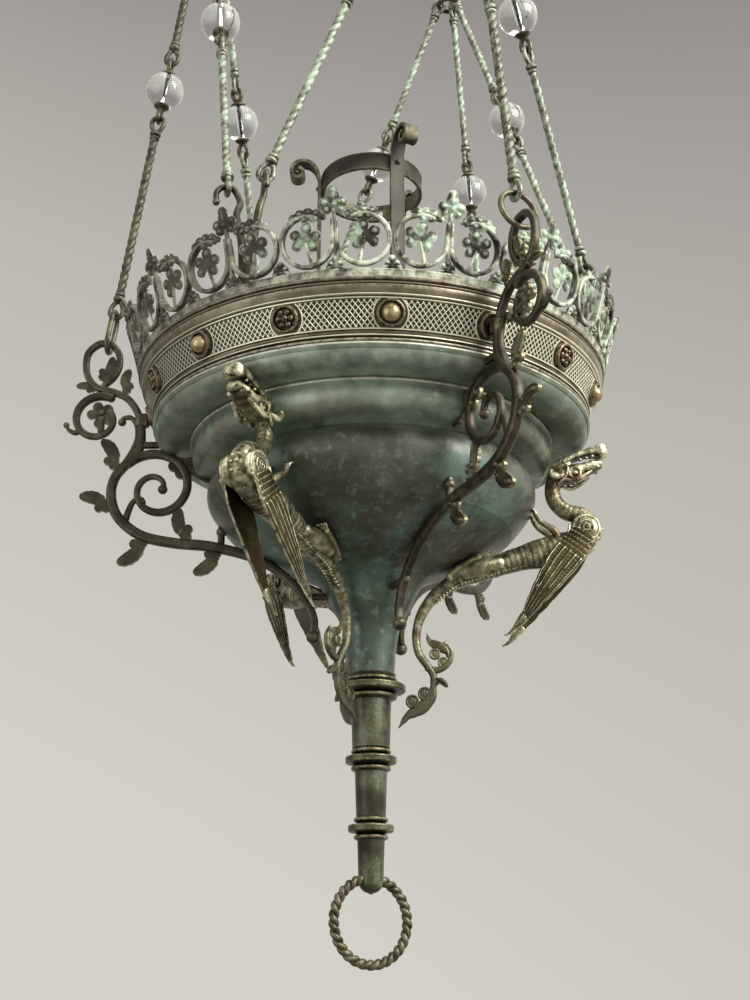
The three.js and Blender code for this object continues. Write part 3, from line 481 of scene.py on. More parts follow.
def leaf_matrix(x: float, z: float, tip_x: float, tip_z: float,
                side: float = 0.0) -> np.ndarray:
    """Places a leaf in the profile plane with its +x axis along a direction.

    Args:
        x: outwards place of the leaf's origin.
        z: its height.
        tip_x: outwards place that the tip points to.
        tip_z: height that the tip points to.
        side: place along the rim.

    Returns:
        4 by 4 matrix.
    """
    length = math.hypot(tip_x - x, tip_z - z)
    c, s = (tip_x - x) / length, (tip_z - z) / length
    return frame_matrix((c, 0, s), (-s, 0, c), (0, -1, 0), (x, side, z))


def at(radius: float, azimuth: float, height: float, side: float = 0.0) -> np.ndarray:
    """A point in space from its radius, azimuth, height and shift along the rim."""
    return turned(azimuth)[:3, :3] @ np.array([radius, side, height])


def along(start: np.ndarray, end: np.ndarray) -> np.ndarray:
    """The matrix that stands +z along a line, with x in the line's upright plane.

    Args:
        start: point that the origin goes to.
        end: point that +z heads for.

    Returns:
        4 by 4 matrix.
    """
    z = (end - start) / np.linalg.norm(end - start)
    y = np.cross((0, 0, 1), z)
    y = y / np.linalg.norm(y)
    return frame_matrix(np.cross(y, z), y, z, start)


# Finishes


def linear(colour: str) -> tuple[float, float, float, float]:
    """An sRGB hex colour as linear values.

    Args:
        colour: such as "#4a6a60".

    Returns:
        Red, green, blue and an alpha of 1.
    """
    value = [int(colour[k:k + 2], 16) / 255 for k in (1, 3, 5)]
    low = [v / 12.92 if v <= 0.04045 else ((v + 0.055) / 1.055) ** 2.4 for v in value]
    return (*low, 1.0)


class Axis(Enum):
    """Measures of a place on a piece that a layer can begin or end by."""

    X = "metres to the right"
    Y = "metres away from the viewer"
    HEIGHT = "millimetres above the band's upper edge"
    RADIUS = "millimetres from the lamp's axis"
    AWAY = "millimetres from the nearest boss"


@dataclass(frozen=True)
class Layer:
    """One colour of dirt, bloom or wear, and where it lies.

    Its amount is the share times a ramp for each bound and one for the spots. A ramp is 0
    at its first value and 1 at its second.

    Args:
        colour: its hex colour.
        share: how much of it lies where it is thickest.
        spots: size in millimetres and detail of a noise, and the ramp over it.
        bounds: an axis and the ramp over it, for each bound.
        stretch: how much finer the spots are upwards than sideways.
    """

    colour: str
    share: float = 1.0
    spots: tuple | None = None
    bounds: tuple = ()
    stretch: float = 1.0


class Nodes:
    """A node tree, and one short way to add a node to it."""

    def __init__(self, owner: bpy.types.Material | bpy.types.World) -> None:
        """Empties the tree of a new material or world."""
        self.owner = owner
        owner.use_nodes = True
        self.tree = owner.node_tree
        self.tree.nodes.clear()

    def add(self, kind: str, inputs: dict | None = None, out: int | str = 0,
            **settings) -> bpy.types.NodeSocket | None:
        """Adds a node, with its settings and links.

        Args:
            kind: node type without its prefix, such as "TexNoise".
            inputs: input's name or index to a number, a hex colour or a node's output.
            out: name or index of the output that is wanted.
            settings: properties of the node.

        Returns:
            That output, or None where the node has none.
        """
        node = self.tree.nodes.new("ShaderNode" + kind)
        for key, value in settings.items():
            setattr(node, key, value)
        for key, value in (inputs or {}).items():
            if isinstance(value, bpy.types.NodeSocket):
                self.tree.links.new(value, node.inputs[key])
            else:
                node.inputs[key].default_value = linear(value) if isinstance(value, str) else value
        return node.outputs[out] if len(node.outputs) else None

    def axes(self) -> dict:
        """The place on the piece, whole under the key "place" and along each axis.

        Returns:
            The outputs by their keys.
        """
        place = self.add("TexCoord", out="Object")
        x, y, z = self.add("SeparateXYZ", {0: place}).node.outputs
        plan = self.add("VectorMath", {0: self.add("CombineXYZ", {0: x, 1: y})}, "Value",
                        operation="LENGTH")
        return {"place": place, Axis.X: x, Axis.Y: y,
                Axis.HEIGHT: self.add("Math", {0: z, 1: 1000.0, 2: HANG_HEIGHT},
                                      operation="MULTIPLY_ADD"),
                Axis.RADIUS: self.add("Math", {0: plan, 1: 1000.0}, operation="MULTIPLY")}

    def amount(self, layer: Layer, axes: dict,
               extra: bpy.types.NodeSocket | None = None) -> bpy.types.NodeSocket:
        """How much of a layer lies at a place.

        Args:
            layer: the layer.
            axes: the place, as axes() gives it.
            extra: one more factor, or None.

        Returns:
            The amount, from 0 to the layer's share.
        """
        factors = [] if extra is None else [extra]
        if layer.spots:
            size, detail, low, high = layer.spots
            vector = self.add("Mapping", {"Vector": axes["place"],
                                          "Scale": (1.0, 1.0, layer.stretch)})
            spots = self.add("TexNoise", {"Vector": vector, "Scale": 1000.0 / size,
                                          "Detail": detail, "Roughness": 0.6})
            factors.append(self.add("MapRange", {0: spots, 1: low, 2: high}))
        for axis, low, high in layer.bounds:
            factors.append(self.add("MapRange", {0: axes[axis], 1: low, 2: high}))
        amount = layer.share
        for factor in factors:
            amount = self.add("Math", {0: amount, 1: factor}, operation="MULTIPLY")
        return amount

    def lay(self, colour, layer: Layer, axes: dict,
            extra: bpy.types.NodeSocket | None = None) -> bpy.types.NodeSocket:
        """Lays a layer over a colour.

        Args:
            colour: hex colour or output below.
            layer: the layer.
            axes: the place, as axes() gives it.
            extra: one more factor of its amount, or None.

        Returns:
            The colour with the layer on it.
        """
        return self.add("Mix", {0: self.amount(layer, axes, extra), 6: colour, 7: layer.colour},
                        2, data_type="RGBA")

    def finish(self, colour, rough, metal, relief, strength: float = 0.3,
               distance: float = 0.0004) -> bpy.types.Material:
        """Ends a material with a metal's surface shader.

        Args:
            colour: base colour.
            rough: roughness.
            metal: metallic share.
            relief: height of the bump.
            strength: strength of the bump.
            distance: depth of the bump in metres.

        Returns:
            The material.
        """
        bump = self.add("Bump", {"Height": relief, "Strength": strength, "Distance": distance})
        surface = self.add("BsdfPrincipled", {"Base Color": colour, "Roughness": rough,
                                              "Metallic": metal, "Normal": bump})
        self.add("OutputMaterial", {"Surface": surface})
        return self.owner


@dataclass(frozen=True)
class Patina:
    """Colours and texture of one old cast, spun or wrought bronze surface.

    Blotches of the base and dark colours carry a dull bloom. Hollows are darkened by ambient occlusion, which is
    painted shade, and edges are lightened, partly as rubbed bare metal and partly as painted highlight.

    Args:
        name: the material's name.
        base: the metal's own colour, as hex.
        dark: its darker blotches.
        bloom: the dull bloom.
        bare_and_highlight: the edges' colour, partly rubbed bare metal and partly painted highlight.
        bloom_share: how much of the surface the bloom covers.
        bare_and_highlight_share: how strongly the edges are lightened.
        rough: roughness of the clean metal.
        metal: its metallic share.
        blotch: size of the blotches in millimetres.
        shade: reach of the painted shade in hollows in millimetres.
        lit_side_bloom: a paler bloom towards the right, which is painted light, or None for the same.
        finer: how many times the fine grain is smaller than the blotches.
        edges: the pointiness at which the lightened edge begins and is complete.
    """

    name: str
    base: str
    dark: str
    bloom: str
    bare_and_highlight: str
    bloom_share: float = 0.45
    bare_and_highlight_share: float = 0.5
    rough: float = 0.5
    metal: float = 0.6
    blotch: float = 30.0
    shade: float = 6.0
    lit_side_bloom: str | None = None
    finer: float = 7.0
    edges: tuple = (0.515, 0.57)

    def nodes(self) -> tuple[Nodes, dict]:
        """The layers that all patinas share: blotches, bloom, painted shade in hollows, and edges that are partly
        worn and partly painted highlight.

        Returns:
            The node tree, and its outputs: those of axes(), and "colour", "rough", "metal",
            "relief" and "fine".
        """
        n = Nodes(bpy.data.materials.new(self.name))
        s = n.axes()
        blotch, fine, grain = (
            n.add("TexNoise", {"Vector": s["place"], "Scale": 1000.0 / size, "Detail": detail,
                               "Roughness": 0.6})
            for size, detail in ((self.blotch, 6.0), (self.blotch / self.finer, 5.0), (1.2, 3.0)))
        colour = n.lay(self.dark, Layer(self.base), s,
                       n.add("MapRange", {0: blotch, 1: 0.38, 2: 0.62}))
        speck = n.add("Math", {0: blotch, 1: 0.45, 2: n.add(
            "Math", {0: fine, 1: 0.55}, operation="MULTIPLY")}, operation="MULTIPLY_ADD")
        low = 0.62 - 0.24 * self.bloom_share
        bloom = n.add("MapRange", {0: speck, 1: low, 2: low + 0.10})
        bloom_colour = self.bloom
        # Painted light: the bloom turns paler towards the right, where the light comes from.
        if self.lit_side_bloom:
            across = n.add("Math", {0: fine, 1: 0.25, 2: s[Axis.X]}, operation="MULTIPLY_ADD")
            bloom_colour = n.lay(self.bloom, Layer(self.lit_side_bloom), s,
                                 n.add("MapRange", {0: across, 1: 0.025, 2: 0.145}))
        colour = n.add("Mix", {0: bloom, 6: colour, 7: bloom_colour}, 2, data_type="RGBA")
        # Painted shade: the colour darkens towards near-black where ambient occlusion finds hollows.
        occlusion_shade = n.add("AmbientOcclusion", {"Distance": self.shade / 1000}, "AO", samples=6,
                       only_local=False)
        colour = n.lay(colour, Layer("#15130f"), s,
                       n.add("MapRange", {0: occlusion_shade, 1: 0.35, 2: 0.95, 3: 0.75, 4: 0.0}))
        # Edges lightened by pointiness, in patches: partly rubbed bare metal, partly painted highlight.
        point = n.add("NewGeometry", out="Pointiness")
        edge = n.add("MapRange", {0: point, 1: self.edges[0], 2: self.edges[1]})
        edge_patches = n.add("MapRange", {0: fine, 1: 0.35, 2: 0.6})
        colour = n.lay(colour, Layer(self.bare_and_highlight, self.bare_and_highlight_share), s,
                       n.add("Math", {0: edge, 1: edge_patches}, operation="MULTIPLY"))
        grained = n.add("Math", {0: fine, 1: 0.16, 2: self.rough - 0.08}, operation="MULTIPLY_ADD")
        s["rough"] = n.add("Math", {0: bloom, 1: 0.18, 2: grained}, operation="MULTIPLY_ADD")
        s["metal"] = n.add("MapRange", {0: bloom, 3: self.metal, 4: 0.4 * self.metal})
        half_grain = n.add("Math", {0: grain, 1: 0.5}, operation="MULTIPLY")
        s["relief"] = n.add("Math", {0: bloom, 1: 0.5, 2: half_grain}, operation="MULTIPLY_ADD")
        s["colour"], s["fine"] = colour, fine
        return n, s

    def material(self) -> bpy.types.Material:
        """The finished material of this patina."""
        n, s = self.nodes()
        return n.finish(s["colour"], s["rough"], s["metal"], s["relief"], 0.35)


BOWL_SKIN = Patina("bowl_patina", "#7b7d70", "#56574b", "#7b938a", "#e2dcc4",
                   0.34, 0.0, 0.42, 0.55, 60, 4)
CROWN_SKIN = Patina("crown_verdigris", "#545140", "#26241c", "#6c6a54", "#f4f4de",
                    0.62, 0.85, 0.46, 0.35, 40, 6, "#b4cdb6", 4.0, (0.506, 0.545))
BROWN_SKIN = Patina("brown_flange", "#7d7064", "#554b40", "#8c9482", "#e6dfc8",
                    0.3, 0.7, 0.36, 0.7, 34, 4)
TRELLIS_SKIN = Patina("band_trellis", "#8a7f6b", "#615849", "#8a9080", "#efe9d4",
                      0.25, 0.9, 0.34, 0.7, 22, 4)
BOSS_SKIN = Patina("boss_gilt", "#c9ba90", "#8a7850", "#a09c78", "#f6f0d4",
                   0.15, 0.6, 0.26, 0.75, 12, 2)
COLLAR_SKIN = Patina("boss_red_brown", "#57443a", "#2d241e", "#6a5e4e", "#b8a688",
                     0.2, 0.8, 0.34, 0.75, 10, 3, None, 4.0, (0.51, 0.55))
DARK_SKIN = Patina("dark_bronze", "#4b4437", "#2a261f", "#515849", "#a49a7c",
                   0.25, 0.6, 0.4, 0.65, 34, 4, None, 5.0, (0.512, 0.56))
STRAP_SKIN = Patina("strap_bronze", "#3b3728", "#24221a", "#3f4a3b", "#8d8464",
                    0.3, 0.6, 0.5, 0.45, 40, 5, None, 6.0)
LEAF_SKIN = Patina("leaf_bronze", "#5a5543", "#322f25", "#5e6654", "#bcb28a",
                   0.3, 0.7, 0.38, 0.6, 20, 4, None, 5.0, (0.51, 0.56))
GOLD_SKIN = Patina("worn_gold_bronze", "#635a3a", "#322c1d", "#5a6049", "#f6efcc",
                   0.25, 0.9, 0.34, 0.7, 30, 4, None, 5.0, (0.512, 0.545))
# Darker copy of the rod bronze for the left strand: painted shade.
LEFT_SKIN = Patina("left_strand", "#5a5648", "#36332a", "#5f6656", "#9c957c",
                   0.2, 0.5, 0.42, 0.55, 22, 4, None, 4.0)
ROD_SKIN = Patina("rod_verdigris", "#858e7a", "#5b5f50", "#a3b8a2", "#dfe2cc",
                  0.5, 0.6, 0.5, 0.45, 30, 3, None, 4.0)
# Darker copy of the rod bronze for the front strand's bars: painted shade.
FRONT_SKIN = Patina("front_strand", "#535141", "#2c2a21", "#6d7765", "#b4b59c",
                    0.36, 0.8, 0.44, 0.45, 18, 3, None, 4.0)
ROD_END_SKIN = Patina("rod_ends_bronze", "#5b5f4d", "#35352b", "#788a76", "#ccceb6",
                      0.4, 0.8, 0.42, 0.55, 18, 4, None, 4.0)
OLIVE_SKIN = Patina("stem_bronze", "#5f5e49", "#39382d", "#5b6f5f", "#c8bc8e",
                    0.32, 0.75, 0.36, 0.7, 22, 6)

# The bowl's stains, with painted light on the upper tiers and painted shade below and on the lobe's front, in the
# order that they lie on each other
UPPER_TIERS = ((Axis.HEIGHT, -77, -73), (Axis.HEIGHT, -30, -38))
FACING = ((Axis.X, -0.10, -0.06), (Axis.X, 0.085, 0.05), (Axis.Y, 0.0, -0.05))
# A brown stain, a lighter grey over the upper tiers that is painted light, and teal streaks.
FIRST_STAINS_AND_LIGHT = (
    Layer("#6c5548", 0.55, (85, 3, 0.54, 0.66)),
    Layer("#969d8a", 0.45, None, UPPER_TIERS),
    Layer("#5c8377", 0.42, (26, 6, 0.55, 0.68), (), 3.2),
)
WIDE_CLOUD = Layer("#a9b9a8", 1.0, (70, 6, 0.40, 0.60))
# Pale clouds where the bowl faces the front: partly real bloom, partly painted light.
FACING_CLOUD = Layer("#a9b9a8", 1.0, (30, 6, 0.34, 0.5), FACING)
# Pale spots on the upper tiers' front (partly bloom, partly painted light), teal patches on the lobes, darker
# towards the bottom (painted shade), dark mottling and pale speckle.
LATER_STAINS_LIGHT_AND_SHADE = (
    Layer("#bccdb8", 0.6, (20, 6, 0.36, 0.5), (*UPPER_TIERS, *FACING)),
    Layer("#56897c", 0.4, (120, 4, 0.55, 0.62), ((Axis.HEIGHT, -70, -74),)),
    Layer("#42433a", 0.5, None, ((Axis.HEIGHT, -110, -200),)),
    Layer("#3d3a30", 0.42, (24, 8, 0.42, 0.60)),
    Layer("#a3b5a8", 0.30, (7, 6, 0.55, 0.66)),
)
# Painted highlights: thin pale rings along the two tiers' turned edges.
EDGE_HIGHLIGHTS = tuple(
    Layer("#e8e4d0", 0.8, None, (
        (Axis.HEIGHT, level - width, level - width + 0.4),
        (Axis.HEIGHT, level + width, level + width - 0.4),
        (Axis.RADIUS, least, least + 0.4), (Axis.RADIUS, most, most - 0.5)))
    for level, width, least, most in ((-37.4, 0.8, 176.5, 181.0), (-50.8, 1.3, 146.6, 149.2)))
BROWN_LIP = Layer("#8a7b69", 1.0, None, ((Axis.HEIGHT, 1.6, 2.4),))
# Patches on the bowl's front: a teal stain low on the right, painted shade over the lobe's top front, a darker
# patch on the right of the upper tiers, a darker patch on the left lobe, and a brown stain.
FRONT_STAINS_AND_SHADE = tuple(
    Layer(colour, share, (30, 7, 0.38, 0.54), (
        (Axis.X, west, west + 0.03), (Axis.X, east, east - 0.03),
        (Axis.HEIGHT, upper, upper - 8), (Axis.HEIGHT, lower, lower + 14),
        (Axis.Y, 0.0, -0.04)))
    for colour, share, west, east, upper, lower in (
        ("#7ba091", 0.6, 0.035, 0.125, -92.0, -140.0),
        ("#2a2b24", 0.8, -0.03, 0.075, -75.0, -104.0),
        ("#4b4a3d", 0.55, 0.085, 0.21, -28.0, -66.0),
        ("#34352d", 0.45, -0.11, -0.04, -84.0, -124.0),
        ("#8a6f60", 0.40, -0.14, 0.02, -58.0, -78.0)))


def glass_material() -> bpy.types.Material:
    """Clear cast glass, as of a bottle: smooth and colourless, with the slow waves of
    poured glass that bend what is seen through it."""
    n = Nodes(bpy.data.materials.new("clear_glass"))
    wave = n.add("TexNoise", {"Vector": n.add("TexCoord", out="Object"), "Scale": 1000.0 / 9,
                              "Detail": 2.0, "Roughness": 0.6})
    bump = n.add("Bump", {"Height": wave, "Strength": 0.25, "Distance": 0.0005})
    surface = n.add("BsdfPrincipled", {"Base Color": "#f4f6f5", "Roughness": 0.02, "IOR": 1.5,
                                       "Transmission Weight": 1.0, "Normal": bump})
    n.add("OutputMaterial", {"Surface": surface})
    return n.owner


def bowl_material() -> bpy.types.Material:
    """Old spun bronze: grey-green with teal bloom and brown stains, painted highlights along the turned edges,
    painted light on the upper tiers, painted shade towards the bottom and over the lobe's front, and a brown
    rolled lip."""
    n, s = BOWL_SKIN.nodes()
    colour = s["colour"]
    for layer in FIRST_STAINS_AND_LIGHT:
        colour = n.lay(colour, layer, s)
    # Pale clouds on the upper tiers, thicker at the front: partly real bloom, partly painted light.
    cloud = n.add("Math", {0: n.amount(WIDE_CLOUD, s), 1: n.amount(FACING_CLOUD, s)},
                  operation="MAXIMUM")
    colour = n.lay(colour, Layer("#a9b9a8", 0.7, None, UPPER_TIERS), s, cloud)
    for layer in LATER_STAINS_LIGHT_AND_SHADE:
        colour = n.lay(colour, layer, s)
    # Painted highlights along the turned edges, broken up by noise.
    edge_patches = n.add("MapRange", {0: s["fine"], 1: 0.3, 2: 0.5})
    for layer in EDGE_HIGHLIGHTS:
        colour = n.lay(colour, layer, s, edge_patches)
    # The brown lip, then the front's stains and painted shade.
    for layer in (BROWN_LIP, *FRONT_STAINS_AND_SHADE):
        colour = n.lay(colour, layer, s)
    return n.finish(colour, s["rough"], s["metal"], s["relief"], 0.3)


def lattice_material() -> bpy.types.Material:
    """The band's engraved brass trellis: bright raised lines over dark rhombs, in panels
    that stop short of the bosses, with painted highlights on the mouldings and towards the right, painted shade
    towards the left and a painted shadow round each boss.

    U runs once round the band and V is millimetres of profile. A line lies where
    (round +- 0.8 V) / 4.2 is near a whole number.
    """
    n, s = TRELLIS_SKIN.nodes()
    u, v = n.add("SeparateXYZ", {0: n.add("UVMap")}).node.outputs[:2]
    girth, pitch, slant = 2 * math.pi * 184, 4.2, 0.8
    trellis = None
    for sign in (1, -1):
        level = n.add("Math", {0: v, 1: sign * slant / pitch, 2: n.add(
            "Math", {0: u, 1: girth / pitch}, operation="MULTIPLY")}, operation="MULTIPLY_ADD")
        wave = n.add("Math", {0: level, 1: 0.5}, operation="PINGPONG")
        line = n.add("MapRange", {0: wave, 1: 0.14, 2: 0.08})
        trellis = line if trellis is None else n.add("Math", {0: trellis, 1: line},
                                                     operation="MAXIMUM")
    count = GalleryBand.count
    turn = n.add("Math", {0: u, 1: count, 2: -GalleryBand.boss_phase()}, operation="MULTIPLY_ADD")
    wave = n.add("Math", {0: turn, 1: 0.5}, operation="PINGPONG")
    beside = n.add("Math", {0: wave, 1: girth / count, 2: -0.5 * girth / count},
                   operation="MULTIPLY_ADD")
    rise = n.add("Math", {0: s[Axis.HEIGHT], 1: GalleryBand.field_middle}, operation="SUBTRACT")
    s[Axis.AWAY] = n.add("VectorMath", {0: n.add("CombineXYZ", {0: beside, 1: rise})}, "Value",
                         operation="LENGTH")
    low = GalleryBand.field_middle - GalleryBand.field_half
    high = GalleryBand.field_middle + GalleryBand.field_half
    field_mask = n.amount(Layer("", 1.0, None, (
        (Axis.AWAY, 13.0, 13.3), (Axis.HEIGHT, low, low + 0.3), (Axis.HEIGHT, high, high - 0.3))), s)
    bright = n.add("Math", {0: trellis, 1: field_mask}, operation="MULTIPLY")
    frames = [Layer("", 1.0, None, (
        (Axis.AWAY, 12.0, 12.3), (Axis.AWAY, 13.3, 13.0), (Axis.HEIGHT, low - 0.3, low),
        (Axis.HEIGHT, high + 0.3, high)))]
    # Painted highlights along the band's moulding beads.
    frames += [Layer("", 0.9, None, (
        (Axis.HEIGHT, level - 0.75, level - 0.45), (Axis.HEIGHT, level + 0.75, level + 0.45)))
        for level in GalleryBand.highlight_levels]
    for frame in frames:
        bright = n.add("Math", {0: bright, 1: n.amount(frame, s)}, operation="MAXIMUM")
    # Painted shadow: a dark ring on the band round each boss.
    boss_shadow = n.amount(Layer("", 0.7, None, ((Axis.AWAY, 12.2, 11.9),)), s)
    ground = n.lay(s["colour"], Layer("#3a3a2e"), s,
                   n.add("Math", {0: field_mask, 1: boss_shadow}, operation="MAXIMUM"))
    worn = n.lay("#fffbe9", Layer("#ddd8b8"), s, n.add("MapRange", {0: s["fine"], 1: 0.3, 2: 0.7}))
    colour = n.add("Mix", {0: bright, 6: ground, 7: worn}, 2, data_type="RGBA")
    # Painted shade: the band darkens towards the left.
    colour = n.lay(colour, Layer("#3a352b", 0.35, None, ((Axis.X, -0.05, -0.17),)), s)
    # Painted highlight: the raised lines turn paler towards the right.
    colour = n.lay(colour, Layer("#fff8e0", 0.6, None, ((Axis.X, 0.08, 0.15),)), s, bright)
    relief = n.add("Math", {0: s["relief"], 1: 0.15, 2: bright}, operation="MULTIPLY_ADD")
    return n.finish(colour, s["rough"], s["metal"], relief, 0.8, 0.0006)


def crown_material() -> bpy.types.Material:
    """Verdigris on cast bronze: chalky and pale, darker and browner towards the crown's left side, partly its own
    colour and partly painted shade.
    """
    n, s = CROWN_SKIN.nodes()
    drift = n.add("TexNoise", {"Vector": s["place"], "Scale": 1000.0 / 45, "Detail": 4.0,
                               "Roughness": 0.6})
    s[Axis.X] = n.add("Math", {0: drift, 1: 0.3, 2: s[Axis.X]}, operation="MULTIPLY_ADD")
    # Darker, browner towards the left: partly the verdigris' own colour, partly painted shade on the side away
    # from the light.
    colour = n.lay(s["colour"], Layer("#453e33", 0.6, None, ((Axis.X, 0.15, 0.03),)), s)
    colour = n.lay(colour, Layer("#4f4a3c", 0.3, None, ((Axis.X, 0.24, 0.30),)), s)
    return n.finish(colour, s["rough"], s["metal"], s["relief"], 0.35)


def beast_material() -> bpy.types.Material:
    """Old gilding on cast bronze, with small scales raised in rows round the bodies.

    Along a body U counts millimetres and V turns. A scale's edge lies where the distance
    from the middle of its foot, in rows of 2.6 mm, is 0.8 to 0.95.
    """
    n, s = GOLD_SKIN.nodes()
    u, v = n.add("SeparateXYZ", {0: n.add("UVMap")}).node.outputs[:2]
    row = n.add("Math", {0: u, 1: 2.6}, operation="DIVIDE")
    shift = n.add("Math", {0: n.add("Math", {0: row}, operation="FLOOR"), 1: 0.5},
                  operation="MULTIPLY")
    around = n.add("Math", {0: v, 1: 16.0, 2: shift}, operation="MULTIPLY_ADD")
    wave = n.add("Math", {0: around, 1: 0.5}, operation="PINGPONG")
    across = n.add("Math", {0: wave, 1: 1.8, 2: -0.9}, operation="MULTIPLY_ADD")
    along_row = n.add("Math", {0: row}, operation="FRACT")
    reach = n.add("VectorMath", {0: n.add("CombineXYZ", {0: along_row, 1: across})}, "Value",
                  operation="LENGTH")
    edge = n.add("MapRange", {0: reach, 1: 0.95, 2: 0.8, 4: 0.6})
    relief = n.add("Math", {0: s["relief"], 1: 0.4, 2: edge}, operation="MULTIPLY_ADD")
    colour = n.lay(s["colour"], Layer("#5f3c2c", 0.55, (34, 3, 0.58, 0.66)), s)
    colour = n.lay(colour, Layer("#5b5a47", 1.0, None, ((Axis.HEIGHT, -200, -235),)), s)
    return n.finish(colour, s["rough"], s["metal"], relief, 0.45, 0.0005)


# Objects


def make_object(name: str, surface: Surface, material: bpy.types.Material, body: Body | str,
                smooth_angle: float = 40.0) -> bpy.types.Object:
    """A visible piece, in metres, at its place in the row frame.

    Args:
        name: the object's name.
        surface: its mesh in millimetres.
        material: its finish.
        body: the frame's body that carries it.
        smooth_angle: edges that bend more than this many degrees stay sharp.

    Returns:
        The object, riding on its body.
    """
    mesh = bpy.data.meshes.new(name)
    verts = (surface.verts - (0, 0, HANG_HEIGHT)) * 0.001
    mesh.from_pydata(verts.tolist(), [], surface.quads.tolist())
    layer = mesh.uv_layers.new(name="UVMap")
    layer.data.foreach_set("uv", surface.quad_uv.reshape(-1))
    work = bmesh.new()
    work.from_mesh(mesh)
    bmesh.ops.remove_doubles(work, verts=work.verts, dist=2e-6)
    bmesh.ops.recalc_face_normals(work, faces=work.faces)
    work.to_mesh(mesh)
    work.free()
    mesh.polygons.foreach_set("use_smooth", [True] * len(mesh.polygons))
    mesh.set_sharp_from_angle(angle=math.radians(smooth_angle))
    mesh.materials.append(material)
    obj = bpy.data.objects.new(name, mesh)
    bpy.context.scene.collection.objects.link(obj)
    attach(obj, body.value if isinstance(body, Body) else body)
    return obj


def band_face(z: float) -> float:
    """The radius of the band's outer face at a height."""
    return BAND_RADIUS + BAND_LEAN * z


@dataclass
class Bowl:
    """The spun bowl in tiers, the funnel under it and the turned stem."""

    wall: float = 1.8
    lip_radius: float = 190.8
    band_gap: float = 4.3
    knops: tuple = ((247.0, 27.0, 20.0, ((15.6, -256.5), (14.4, -293.0))),
                    (302.0, 19.8, 15.0, ((12.3, -311.0), (11.2, -344.0))),
                    (353.0, 17.5, 12.7, ((10.2, -362.2),)))

    def outer(self) -> list:
        """The bowl's outer profile, from the lip behind the band down to its open bottom."""
        gap = self.band_gap
        return [
            *arc(self.lip_radius - 0.7, 4.15, 0.8, 80, -80, 6), (band_face(3.3) - gap, 3.3),
            (band_face(-36.3) - gap, -36.3), (177.6, -36.3),
            *arc(176.6, -37.6, 1.9, 50, -40, 5), (176.9, -40.6),
            *arc(164.2, -38.0, 12.4, -12, -86, 12), (160, -50.4), (150, -49.3),
            (148.0, -49.2), *arc(146.0, -50.8, 1.7, 80, -70, 6), (145.4, -53.5),
            (145.9, -59), (145.2, -64), (143.0, -68.2), (139.5, -70.6), (131, -72.2),
            (123.4, -73.0), *arc(111.5, -93.3, 21, 62, -36, 16),
            *smooth([(127.0, -107.6), (125.2, -110.0), (121.2, -115.1), (116.9, -120.3),
                     (112.3, -125.0)], 14),
        ]

    def inner(self) -> list:
        """The bowl's inner profile, upwards."""
        return [
            (112.3, -122.6), (116.6, -119.2), (125.5, -105.6), *arc(109.6, -93.3, 19.2, -30, 42, 8),
            (118.6, -72.0), (130, -70.2), (138.4, -67.8), (142.8, -63), (143.9, -56),
            (143.4, -48.8), (150, -47.6), (163, -48.4), *arc(162.4, -38.0, 11.6, -80, -10, 6),
            (band_face(-34) - 6.1, -34), (band_face(5) - 6.1, 5.0),
        ]

    def funnel(self) -> list:
        """The funnel's closed profile: its outside, and the same line set in by the wall."""
        line = smooth([(112.25, -125.05), (98, -133.2), (80, -143.2), (60, -152.6), (48, -158.6),
                       (41, -164.2), (35.6, -172.4), (31.2, -182), (26, -191.5),
                       (22.2, -201), (19.6, -216), (18, -236)], 48)
        step = np.gradient(line, axis=0)
        step = step / np.linalg.norm(step, axis=1, keepdims=True)
        inside = line + self.wall * np.stack([step[:, 1], -step[:, 0]], -1)
        return [*map(tuple, line), *map(tuple, inside[::-1])]

    def stem(self) -> list:
        """The stem's closed profile, from the spigot over the knops to the tip and the bore.

        A knop is a disc between two rings, at a depth, with the shank's points below it.
        """
        points = [(3.4, -218), (15.4, -218), (15.4, -236.3), (19.4, -236.3)]
        for depth, disc, ring, shank in self.knops:
            points += [
                *arc(ring - 1.4, -depth + 6.4, 1.7, 100, -60, 7), (ring - 2.6, -depth + 4.2),
                (disc - 4.4, -depth + 3.0), *arc(disc - 1.5, -depth + 1.3, 1.3, 95, -20, 5),
                *arc(disc - 1.5, -depth - 1.3, 1.3, 20, -95, 5), (disc - 4.4, -depth - 3.0),
                (ring - 2.6, -depth - 4.2), *arc(ring - 1.4, -depth - 6.4, 1.7, 60, -100, 7),
                *shank,
            ]
        points += [(9.4, -388), *arc(1.0, -391.4, 8.2, -5, -80, 8), (0, -400.6), (0, -319.6),
                   (3.4, -319.6)]
        return points

    def build(self) -> None:
        """Makes the bowl, funnel and stem."""
        skin = bowl_material()
        bowl = lathe(self.outer() + self.inner(), 256)
        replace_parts(make_object("bowl_shell", bowl, skin, Body.LAMP), "bowl")
        funnel = lathe(self.funnel(), 192)
        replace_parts(make_object("funnel_shell", funnel, skin, Body.LAMP), "funnel")
        stem = make_object("turned_stem", lathe(self.stem(), 72), OLIVE_SKIN.material(),
                           Body.LAMP)
        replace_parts(stem, "stem")


